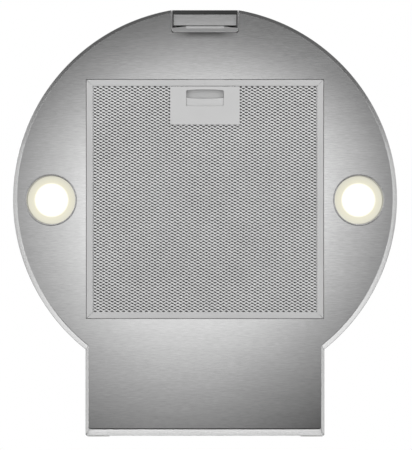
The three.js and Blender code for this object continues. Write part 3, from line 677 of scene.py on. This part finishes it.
def bottom_sheet():
    """The panel, cut out for the filter, the lamps and the control, its edge under the rim's."""
    lap = 0.45
    front, rear = FILTER_Y
    opening = rounded_box(FILTER_HALF_X + PANEL_GAP, (front - PANEL_GAP, rear + PANEL_GAP), 0.8, 3)
    lamps = [circle(side * LIGHT_X, LIGHT_Y, LAMP_HOLE, 96) for side in (-1, 1)]
    outline = notched(RIM_SIDE - lap, RIM_TAIL - 0.35, RIM_REAR - lap, corner_cut=1.8)
    sheet = plate("bottom_sheet", [outline, opening, *lamps], (PANEL_Z, PANEL_Z + 1), 0.05)
    # The panel's finish has the control unit's soft shadow painted into its colour.
    piece(sheet, "hood", "brushed_panel", "bottom_panel", angle=15, finish=VARIANTS["panel_steel_painted_shade"])


AIR_WAY_HALF_X = 100.0
AIR_WAY_Y = (-248.0, -145.0)
GLAND_PLACE = (118.0, -15.0)
GLAND_RADIUS = 7.3


def top_sheet():
    """The sheet that closes the canopy's top, with the air's way up and the cable's hole."""
    inset = 1.4
    air_way = rounded_box(AIR_WAY_HALF_X, AIR_WAY_Y, 6)
    gland = circle(*GLAND_PLACE, GLAND_RADIUS, 32)
    loops = [notched(inset, inset, inset), air_way, gland]
    sheet = plate("top_sheet", loops, (TOP_Z - SHEET, TOP_Z - 0.05), 0.25)
    piece(sheet, "hood", "brushed_panel", "top_plate", angle=15)


PAD_X = 125.0
PAD_HALF_X = 13.0
PAD_HEIGHTS = (BOTTOM_Z + 2, BOTTOM_Z + 42)


def rear_pads():
    for side, name in ((-1, "left"), (1, "right")):
        x = (side * PAD_X - PAD_HALF_X, side * PAD_X + PAD_HALF_X)
        pad = block(f"wall_pad_{name}", x, (REAR_Y + 0.3, 0), PAD_HEIGHTS)
        piece(pad, "hood", "pale_plastic", f"rear_pad_{name}", bevel=0.35)


canopy_body()
bottom_sheet()
top_sheet()
rear_pads()


# ---- grease filter --------------------------------------------------------------------------
# The frame's C section, each as (distance from its outer edge, height over its lower face).
FRAME_SECTION = (
    (0.0, 0.7), (0.2, 0.2), (0.7, 0.0), (FILTER_FACE - 0.9, 0.0), (FILTER_FACE - 0.35, 0.25),
    (FILTER_FACE, 0.9), (FILTER_FACE - 0.3, 1.1), (FILTER_FACE - 1.2, 0.8), (1.2, 0.8),
    (1.2, FILTER_DEEP - 0.8), (8.5, FILTER_DEEP - 0.8), (8.5, FILTER_DEEP - 0.1),
    (8.4, FILTER_DEEP), (0.4, FILTER_DEEP), (0.0, FILTER_DEEP - 0.4),
)


def frame_bar(name, start, end, inward, trims):
    """A bar of the filter's frame from start to end. A mitred end slopes inwards by each inset."""
    start, end, inward = Vector(start), Vector(end), Vector(inward)
    along = (end - start).normalized()
    loops = []
    for inset, up in FRAME_SECTION:
        first = start + along * (trims[0][0] + inset * trims[0][1]) + inward * inset
        last = end - along * (trims[1][0] + inset * trims[1][1]) + inward * inset
        loops.append([(first.x, first.y, PANEL_Z + up), (last.x, last.y, PANEL_Z + up)])
    return build(name, *skin(loops, wrap_path=False))


LUG_X = 95.0
LUG_HALF_X = 10.0


def filter_bars():
    """The frame: two half bars in front, three whole bars, and the two lugs that it hangs on."""
    half, (front, rear) = FILTER_HALF_X, FILTER_Y
    mitre, seam = (0.20, 1), (0.16, 0)
    bars = [
        frame_bar("bar", (-half, front), (0, front), (0, 1), (mitre, seam)),
        frame_bar("bar", (0, front), (half, front), (0, 1), (seam, mitre)),
        frame_bar("bar", (half, front), (half, rear), (-1, 0), (mitre, mitre)),
        frame_bar("bar", (half, rear), (-half, rear), (0, -1), (mitre, mitre)),
        frame_bar("bar", (-half, rear), (-half, front), (1, 0), (mitre, mitre)),
    ]
    for side in (-1, 1):
        x = (side * LUG_X - LUG_HALF_X, side * LUG_X + LUG_HALF_X)
        bars.append(block("lug", x, (rear - 1, rear + 5.5), (PANEL_Z + 2.6, PANEL_Z + 4)))
    piece(joined("filter_bars", bars), "grease_filter", "filter_aluminium", "filter_frame")


MESH_LONG = 6.70  # one diamond's length along X
MESH_SHORT = 3.73  # and along Y
MESH_SKEW = 0.5  # how far a strand's crests lean along X
MESH_INSET = 1.8  # from the frame's outer edge to the mesh
HANDLE_GAP = 27.0  # half the width that the two lower layers leave free for the handle


def expanded_mesh(
    name, node, z, opening, width, thick, lean, pitch=1.0, corners=4, phase=0, finish=None
):
    """Expanded metal: wavy strands, each joined to its neighbours where their crests meet.

    The opening is half the width of the gap for the handle, or 0. A strand's section has three
    corners or four.
    """
    long, short = MESH_LONG * pitch, MESH_SHORT * pitch
    front, rear = FILTER_Y[0] + MESH_INSET, FILTER_Y[1] - MESH_INSET
    rows = int((rear - front) / (short / 2))
    spans = int(2 * (FILTER_HALF_X - MESH_INSET) / (long / 2))
    y_first = (front + rear) / 2 - rows * short / 4
    x_first = -spans * long / 4
    swing = short / 4 - 0.16 * width
    tilt = math.radians(lean)
    outward = Vector((0, math.cos(tilt), math.sin(tilt))) * width / 2
    upward = Vector((0, -math.sin(tilt), math.cos(tilt))) * thick / 2
    if corners == 4:
        ring = [outward + upward, upward - outward, -outward - upward, outward - upward]
    else:
        ring = [outward, upward, -outward - upward]
    left_end = math.floor((-opening - x_first) / (long / 2))
    right_start = math.ceil((opening - x_first) / (long / 2))
    verts, faces = [], []
    for row in range(rows + 1):
        y_row = y_first + row * short / 2
        strands = [(0, spans)]
        if opening and y_row < HANDLE_Y[1] - 1.5:
            strands = [(0, left_end), (right_start, spans)]
        for begin, end in strands:
            first = len(verts)
            for k in range(begin, end + 1):
                crest = 1 if (k + row + phase) % 2 else -1
                x = x_first + k * long / 2 + crest * MESH_SKEW * pitch
                middle = Vector((x, y_row + crest * swing, z + crest * thick * 0.75))
                verts += [middle + offset for offset in ring]
            for a in range(first, len(verts) - corners, corners):
                b = a + corners
                for c in range(corners):
                    after = (c + 1) % corners
                    faces.append((a + c, a + after, b + after, b + c))
            faces.append(list(range(first, first + corners)))
            faces.append(list(range(len(verts) - corners, len(verts))))
    piece(build(name, verts, faces), "grease_filter", "filter_mesh", node, angle=25, finish=finish)


RECESS_BOW = 0.77  # how far the recess's front edge curves back at its ends
RAIL_X = 23.4
RAIL_HALF = 0.7
STOP_Y = (-370.7, -369.5)


def handle_face():
    """The handle's plate, with its recess, and the rails and stop that guide the latch."""
    low = PANEL_Z
    face = rounded_box(HANDLE_HALF_X, HANDLE_Y, 0.9, 4)
    half, (front, rear) = RECESS_HALF_X, RECESS_Y
    bow = []
    for k in range(-6, 7):
        share = k / 6
        bow.append(((half - 1.9) * share, front + RECESS_BOW * share**2))
    edge = bow[-1][1]
    right = arc(half - 1.9, edge + 1.9, 1.9, -90, 0, 5)[1:]
    right += arc(half - 1.3, rear - 1.3, 1.3, 0, 90, 4)
    recess = bow + right + [(-x, y) for x, y in reversed(right)]
    parts = [plate("handle_face", [face, recess], (low, low + 0.8), 0.18)]
    height = (low + 0.6, low + 7)
    for side in (-1, 1):
        x = (side * RAIL_X - RAIL_HALF, side * RAIL_X + RAIL_HALF)
        parts.append(block("rail", x, (HANDLE_Y[0] + 0.3, STOP_Y[1]), height))
    parts.append(block("stop", (RAIL_HALF - RAIL_X, RAIL_X - RAIL_HALF), STOP_Y, height))
    handle = joined("handle_face", parts)
    piece(handle, "grease_filter", "handle_plastic", "filter_handle_plate", angle=20)


PULL_HALF = 21.85
PULL_STEPS = 24
# The pull's section along Y, each as (y, height over the filter's lower face).
PULL_SECTION = (
    (-387.0, 5.9), (-387.0, 0.95), (-387.9, 1.6), (-389.0, 1.3), (PADDLE_Y + 1.2, 1.0),
    (PADDLE_Y + 0.4, 1.2), (PADDLE_Y, 1.7), (PADDLE_Y + 0.05, 5.5), (PADDLE_Y - 1.1, 4.9),
    (-408.0, 4.0), (-408.0, 5.9),
)


def latch_pull():
    """The latch's slider: a flat pocket floor in front, and a thumb paddle with a bowed lip."""
    loops = []
    for y, height in PULL_SECTION:
        loop = []
        for k in range(PULL_STEPS + 1):
            share = 2 * k / PULL_STEPS - 1
            bow = 1.1 * (1 - share * share) - 0.7 if abs(y - PADDLE_Y) < 1.5 else 0
            loop.append((share * PULL_HALF, y + bow, PANEL_Z + height))
        loops.append(loop)
    pull = build("latch_pull", *skin(loops, wrap_path=False))
    piece(pull, "filter_latch", "handle_plastic", "latch_slider", angle=30)
    # The pocket's floor takes a darker finish: painted shade in the recess.
    pull.data.materials.append(VARIANTS["pocket_painted_shade"])
    for face in pull.data.polygons:
        if face.center.y < (PADDLE_Y + 1.2) * MM and face.center.z > (PANEL_Z + 1.6) * MM:
            face.material_index = 1


COIL_START = -387.1
COIL_LENGTH = 15.7
COIL_TURNS = 5.5
COIL_RADIUS = 1.9
COIL_WIRE = 0.4
COIL_STEPS = 176
COIL_SIDES = 8


def latch_coil():
    """The latch's spring, a coil between the paddle and its stop."""
    axis = Vector((0, COIL_START, PANEL_Z + 3.9))
    rise = COIL_LENGTH / (COIL_TURNS * 2 * math.pi)
    loops = []
    for k in range(COIL_STEPS + 1):
        share = k / COIL_STEPS
        angle = 2 * math.pi * COIL_TURNS * share
        outward = Vector((math.cos(angle), 0, math.sin(angle)))
        along = Vector((-outward.z * COIL_RADIUS, rise, outward.x * COIL_RADIUS)).normalized()
        across = along.cross(outward)
        centre = axis + Vector((0, COIL_LENGTH * share, 0)) + outward * COIL_RADIUS
        loop = []
        for side in range(COIL_SIDES):
            turn = 2 * math.pi * side / COIL_SIDES
            loop.append(centre + (outward * math.cos(turn) + across * math.sin(turn)) * COIL_WIRE)
        loops.append(loop)
    coil = build("latch_coil", *skin(loops, wrap_loops=False))
    piece(coil, "filter_latch", "spring_steel", "latch_spring", angle=50)
    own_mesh(coil)


filter_bars()
# The deeper layers take a darker finish: painted shade, not grease.
painted_shade_mesh = VARIANTS["mesh_in_painted_shade"]
expanded_mesh("weave_lower", "filter_mesh_lower", PANEL_Z + 1.7, HANDLE_GAP, 1.0, 0.36, lean=14)
expanded_mesh("weave_core", "filter_mesh_core", PANEL_Z + 4.1, HANDLE_GAP, 1.3, 0.4, lean=-25,
              corners=3, phase=1, finish=painted_shade_mesh)
expanded_mesh("weave_upper", "filter_mesh_upper", FILTER_TOP - 1.8, 0, 2.1, 0.4, lean=30,
              pitch=1.3, corners=3, finish=painted_shade_mesh)
handle_face()
latch_pull()
latch_coil()


# ---- lights ---------------------------------------------------------------------------------
# Sections of a lamp, each as (distance from its axis, height over the panel).
LIGHT_RING = (
    (30.4, -0.35), (30.35, -0.6), (30.05, -0.85), (29.6, -0.9), (29.0, -0.8), (28.6, -0.45),
    (28.4, 0.1), (28.4, 9.8), (29.2, 9.8), (29.2, -0.3),
)
LIGHT_GLASS = (
    (0.0, 6.6), (18.8, 6.6), (27.4, 6.62), (27.9, 6.8), (28.1, 7.2), (28.1, 8.2), (27.8, 8.5),
    (0.0, 8.5),
)


def lights():
    for side, name in ((-1, "left"), (1, "right")):
        centre = (side * LIGHT_X, LIGHT_Y, PANEL_Z)
        ring = lathe(f"light_ring_{name}", LIGHT_RING, centre, 128)
        piece(ring, "hood", "light_trim", f"light_bezel_{name}", angle=50)
        lens = lathe(f"light_glass_{name}", LIGHT_GLASS, centre, 128)
        piece(lens, "hood", "light_lens", f"light_lens_{name}", angle=50)


lights()


# ---- control unit ---------------------------------------------------------------------------
# Its wall's section, each as (distance from the outer face, height).
WALL_SECTION = (
    (0, 62.98), (0, 0.62), (0.10, 0.24), (0.36, 0.04), (0.60, 0.0), (0.94, 0.10), (1.2, 0.34),
    (CONTROL_WALL, 0.7), (CONTROL_WALL, 62.98),
)
REAR_ROUNDING = 0.12  # the share of the lower edge's rounding that is left at the rear


def control_wall():
    """The unit's U-shaped wall. Its lower edge is rounded at the sides and flatter at the rear."""
    front, rear = CONTROL_Y
    loops = []
    for inset, up in WALL_SECTION:
        outline = footprint(CONTROL_HALF_X - inset, rear - inset, front, 3.6 - inset)
        loop = []
        for k, (x, y) in enumerate(outline):
            past = min(k, len(outline) - 1 - k) - 1  # points since a rear corner's arc began
            side = math.cos(math.radians(18 * max(past, 0)))  # 1 at the sides, 0 at the rear
            share = REAR_ROUNDING + (1 - REAR_ROUNDING) * side if up < 5 else 1
            loop.append((x, y, CONTROL_Z + up * share))
        loops.append(loop)
    return build("control_shell", *skin(loops, wrap_path=False))


CABLE_Z = TOP_Z - 8
TAB_HALF = 22.4  # half the width of the tab that slopes up to the cover plate


def control_housing():
    """The wall with the cable's hole, the roof, the flange behind the cover plate, and its tab."""
    front, rear = CONTROL_Y
    cable = lathe_solid("cable_hole", [(4.2, -6), (4.2, 6)], (0, rear, CABLE_Z), 32, "Y")
    wall = cut(control_wall(), [cable])
    roof_outline = footprint(CONTROL_HALF_X - 0.3, rear - 0.3, front + 0.1, 3.3)
    roof = prism("roof", roof_outline, (TOP_Z - SHEET, TOP_Z - 0.1))
    # The flange's front edge slopes away from the tab.
    inside, tab_side = CONTROL_HALF_X - CONTROL_WALL + 0.3, TAB_HALF + 0.2
    flange = prism("flange", [
        (-inside, rear - 4.9), (-tab_side, rear - 6.6), (-TAB_HALF, rear - 4.6),
        (TAB_HALF, rear - 4.6), (tab_side, rear - 6.6), (inside, rear - 4.9), (inside, rear - 3.3),
        (inside - 1.6, rear - 1.0), (1.6 - inside, rear - 1.0), (-inside, rear - 3.3),
    ], (CONTROL_Z + 0.05, CONTROL_Z + 1.3))
    tab_section = [
        (rear - 7.75, 2.4), (rear - 7.7, 1.6), (rear - 7.45, 1.32), (rear - 4.55, 0.03),
        (rear - 4.55, 1.3), (rear - 6.2, 2.0), (rear - 7.0, 2.5),
    ]
    ends = (0.1 - TAB_HALF, TAB_HALF - 0.1)
    loops = [[(x, y, CONTROL_Z + up) for x in ends] for y, up in tab_section]
    tab = build("tab", *skin(loops, wrap_path=False))
    shell = joined("control_shell", [wall, roof, flange, tab])
    piece(shell, "hood", "control_metal", "control_housing", angle=28)


def control_front():
    """The black fascia, with a hole for each button."""
    front = CONTROL_Y[0]
    clear = CONTROL_HALF_X - CONTROL_WALL - 0.25
    height = (CONTROL_Z + 0.4, TOP_Z - SHEET - 0.3)
    slab = block("control_front", (-clear, clear), (front, front + 4.5), height)
    holes = [
        lathe_solid("hole", [(4.3, -8), (4.3, 8)], (k * BUTTON_PITCH, front, BUTTON_Z), 48, "Y")
        for k in range(-2, 3)
    ]
    piece(cut(slab, holes), "hood", "black_glass", "control_fascia", bevel=0.5, segments=3)


COVER_HALF = 37.2


def control_cover():
    """The cover plate under the unit, rolled up at its two ends."""
    y_first, y_last = CONTROL_Y[0] + 5.0, CONTROL_Y[1] - 8.1
    rise = 0.15  # the plate leans a little, lowest at the front
    rolled = [(0, 2.2), (0.08, 1.4), (0.3, 1.0), (0.8, 0.88), (5.0, 0.85)]
    under = [(inset - COVER_HALF, up) for inset, up in rolled]
    under += [(-x, up) for x, up in reversed(under)]
    over = [(x * 0.975, up + 0.9) for x, up in reversed(under)]
    loops = []
    for x, up in under + over:
        z = CONTROL_Z + up
        loops.append([(x, y_first, z), (x, y_last, z + rise)])
    cover = build("control_cover", *skin(loops, wrap_path=False))
    piece(cover, "hood", "brushed_panel", "control_plate", angle=30, finish=VARIANTS["cover_steel"])


# A button's section, each as (distance from its axis, depth behind the fascia's front).
BUTTON_SECTION = (
    (0.0, 0.75), (1.2, 0.7), (2.4, 0.52), (3.2, 0.3), (3.6, 0.25), (3.9, 0.4), (4.0, 0.75),
    (4.0, 5.6), (5.2, 5.6), (5.2, 6.7), (1.6, 6.7), (1.6, 10.2), (0.0, 10.2),
)


def buttons():
    for k, name in zip(range(-2, 3), ("light", "low", "middle", "high", "off")):
        centre = (k * BUTTON_PITCH, CONTROL_Y[0], BUTTON_Z)
        cap = lathe(f"button_cap_{name}", BUTTON_SECTION, centre, 48, "Y")
        piece(cap, f"key_{name}", "button_plastic", f"button_{name}", angle=40)


control_housing()
control_front()
control_cover()
buttons()


# ---- chimney --------------------------------------------------------------------------------
def cover_outline(half, front, fold):
    """A U-shaped cover's outline, with rounded front corners and hems folded in at the wall."""
    thick, bend, wall = 1.0, 2.6, -1.0
    centre = (half - bend, front + bend)
    outer = [(half - fold, wall), (half, wall), *arc(*centre, bend, 0, -90, 6)]
    inner = [(half - fold, wall - thick), (half - thick, wall - thick)]
    inner += arc(*centre, bend - thick, 0, -90, 6)
    outer += [(-x, y) for x, y in reversed(outer)]
    inner += [(-x, y) for x, y in reversed(inner)]
    return outer + inner[::-1]


LOUVRES = 6
LOUVRE_PITCH = 11.0
LOUVRE_TOP_Z = 511.75


def louvre(z):
    """A rounded slot's cutter through both sides."""
    profile = rounded_box(30, (-1.75, 1.75), 1.7, 6)
    loops = [[(x, y - 135, up + z) for y, up in profile] for x in (-150, 150)]
    return build("louvre", *skin(loops, wrap_loops=False))


def chimney():
    """The two covers: the upper one slides in the lower one and has the louvres."""
    steel = VARIANTS["chimney_steel"]
    outline = cover_outline(CHIMNEY_HALF_X, CHIMNEY_FRONT_Y, 12)
    lower = prism("chimney_lower_cover", outline, (TOP_Z + 0.3, CHIMNEY_SPLIT_Z))
    piece(lower, "hood", "brushed_panel", "lower_chimney", bevel=0.2, finish=steel)
    outline = cover_outline(CHIMNEY_HALF_X - 2, CHIMNEY_FRONT_Y + 2, 10)
    upper = prism("chimney_upper_cover", outline, (UPPER_FOOT_Z, UPPER_TOP_Z))
    slots = [louvre(LOUVRE_TOP_Z - LOUVRE_PITCH * k) for k in range(LOUVRES)]
    upper = cut(upper, slots)
    piece(upper, "chimney_slide", "brushed_panel", "upper_chimney", bevel=0.2, finish=steel)


chimney()


# ---- the CAD nodes that stay ----------------------------------------------------------------
def finish_cad_nodes():
    """Gives each CAD node still in view its slot's material, and all but the cables soft edges."""
    slots = {row["node"]: row["material_slot"] for row in frame["record"]["subparts"]}
    for name, obj in cad.items():
        if obj.hide_render:
            continue
        obj.data.materials.clear()
        obj.data.materials.append(MATERIALS[slots[name]])
        obj.data.polygons.foreach_set("use_smooth", [True] * len(obj.data.polygons))
        if "cable" in name:
            continue
        edge = obj.modifiers.new("rounded_edges", "BEVEL")
        edge.width = 0.2 * MM
        edge.segments = 2
        edge.limit_method = "ANGLE"
        edge.angle_limit = math.radians(40)
        edge.harden_normals = True


finish_cad_nodes()


# ---- light and floor ------------------------------------------------------------------------
# Places and sizes of lights are in metres.
SKY = ((0.0, 0.05), (0.25, 0.16), (0.45, 0.42), (0.60, 0.66), (0.95, 1.0))  # (height, level)


def world():
    """A soft sky: white overhead, and dimmer towards the horizon and the ground."""
    sky = bpy.data.worlds.new("studio")
    sky.use_nodes = True
    scene.world = sky
    nodes, links = sky.node_tree.nodes, sky.node_tree.links
    where = nodes.new("ShaderNodeTexCoord").outputs["Generated"]
    apart = nodes.new("ShaderNodeSeparateXYZ")
    links.new(where, apart.inputs["Vector"])
    height = nodes.new("ShaderNodeMapRange")
    height.inputs["From Min"].default_value = -1
    links.new(apart.outputs["Z"], height.inputs["Value"])
    ramp = nodes.new("ShaderNodeValToRGB")
    stops = ramp.color_ramp.elements  # a new ramp has two
    for k, (place, level) in enumerate(SKY):
        stop = stops[k] if k < 2 else stops.new(place)
        stop.position = place
        stop.color = (level, level, level, 1)
    links.new(height.outputs["Result"], ramp.inputs["Fac"])
    background = nodes["Background"]
    links.new(ramp.outputs["Color"], background.inputs["Color"])
    background.inputs["Strength"].default_value = 1.0


def area_light(name, place, target, size, power):
    """A soft light, round where it has one size and rectangular where it has two."""
    data = bpy.data.lights.new(name, "AREA")
    data.shape = "DISK" if len(size) == 1 else "RECTANGLE"
    data.size = size[0]
    data.size_y = size[-1]
    data.energy = power
    light = bpy.data.objects.new(name, data)
    light.location = place
    aim = Vector(target) - Vector(place)
    light.rotation_euler = aim.to_track_quat("-Z", "Y").to_euler()
    light.visible_camera = False
    scene.collection.objects.link(light)
    return light


HOOD_MIDDLE_Y = -0.262
GLOW_Z = -1.35  # height of the large soft box under the hood
GLOW_SIDE = 0.92
GLOW_HEART = (-0.020, -0.272)  # its brightest place
GLOW_FRONT, GLOW_REAR = 0.856, 1.34  # it fades sooner to the front than to the rear
GLOW_TILT = (0.20, -1.42, -1.7)  # how it leans with x, with y and with both together
GLOW_LEAN_Y = -0.287  # where the lean along y starts
GLOW_LEVELS = (  # (distance from its brightest place, brightness)
    (0.0, 1.38), (0.17, 1.31), (0.22, 1.07), (0.27, 0.80), (0.32, 0.60), (0.37, 0.41),
    (0.44, 0.13), (0.55, 0.14),
)


def glow_box():
    """A soft box whose light fades smoothly from its middle, which the panel mirrors."""
    place, below = (0.0, HOOD_MIDDLE_Y, GLOW_Z), (0.0, HOOD_MIDDLE_Y, 0.0)
    light = area_light("glow", place, below, (GLOW_SIDE, GLOW_SIDE), 4 * GLOW_SIDE**2)
    light.data.use_nodes = True
    paint = Sketch(light.data.node_tree)
    x, y = paint.axes(paint.nodes.new("ShaderNodeNewGeometry").outputs["Position"])
    across = paint.maths("SUBTRACT", x, GLOW_HEART[0])
    along = paint.maths("SUBTRACT", y, GLOW_HEART[1])
    to_rear = paint.maths("DIVIDE", along, GLOW_REAR)
    to_front = paint.maths("DIVIDE", along, -GLOW_FRONT)
    distance = paint.length(across, paint.maths("MAXIMUM", to_rear, to_front))
    level = paint.curve(distance, GLOW_LEVELS)
    lean = paint.maths("ADD", GLOW_TILT[1], paint.maths("MULTIPLY", x, GLOW_TILT[2]))
    lean = paint.maths("MULTIPLY", paint.maths("SUBTRACT", y, GLOW_LEAN_Y), lean)
    tilt = paint.maths("ADD", 1, paint.maths("MULTIPLY", x, GLOW_TILT[0]))
    tilt = paint.maths("MAXIMUM", 0.1, paint.maths("ADD", tilt, lean))
    strength = paint.nodes["Emission"].inputs["Strength"]
    paint.links.new(paint.maths("MULTIPLY", level, tilt), strength)


CHIMNEY_MIDDLE = (0, -0.2, 0.1)
RING_AWAY = 1.63
RING_DROP = 1.47
RING_POWERS = ((174, 5.0), (222, 4.7), (270, 7.6), (318, 4.4), (6, 5.1))  # by azimuth


def ring_lights():
    """Soft boxes low around the hood, which its sloping rim mirrors."""
    hood = Vector((0, HOOD_MIDDLE_Y, -0.15))
    for azimuth, power in RING_POWERS:
        angle = math.radians(azimuth)
        away = Vector((RING_AWAY * math.cos(angle), RING_AWAY * math.sin(angle), -RING_DROP))
        area_light(f"ring_{azimuth}", hood + away, hood, (1.45, 0.8), power)


FLOOR_Z = -4000.0
FLOOR_RADIUS = 15000.0


def floor():
    """A plain pale disc far below, which the steel doesn't mirror."""
    outline = [(x, y, FLOOR_Z) for x, y in circle(0, 0, FLOOR_RADIUS, 64)]
    mesh = bpy.data.meshes.new("floor")
    mesh.from_pydata([Vector(v) * MM for v in outline], [], [list(range(len(outline)))])
    obj = new_object("floor", mesh)
    paint = Paint("floor", Roughness=0.9)
    mottle = paint.noise(2.0)
    paint.colour(paint.blend(paint.spread(mottle, 0, 1), grey(0.72), grey(0.76)))
    mesh.materials.append(paint.material)
    obj.visible_glossy = False


world()
floor()
glow_box()
ring_lights()
area_light("front_key", (0.0, -2.3, 1.2), CHIMNEY_MIDDLE, (1.6,), 7)
area_light("left_fill", (-2.4, -0.9, 0.9), CHIMNEY_MIDDLE, (1.4,), 9)
scene.view_settings.view_transform = "Standard"
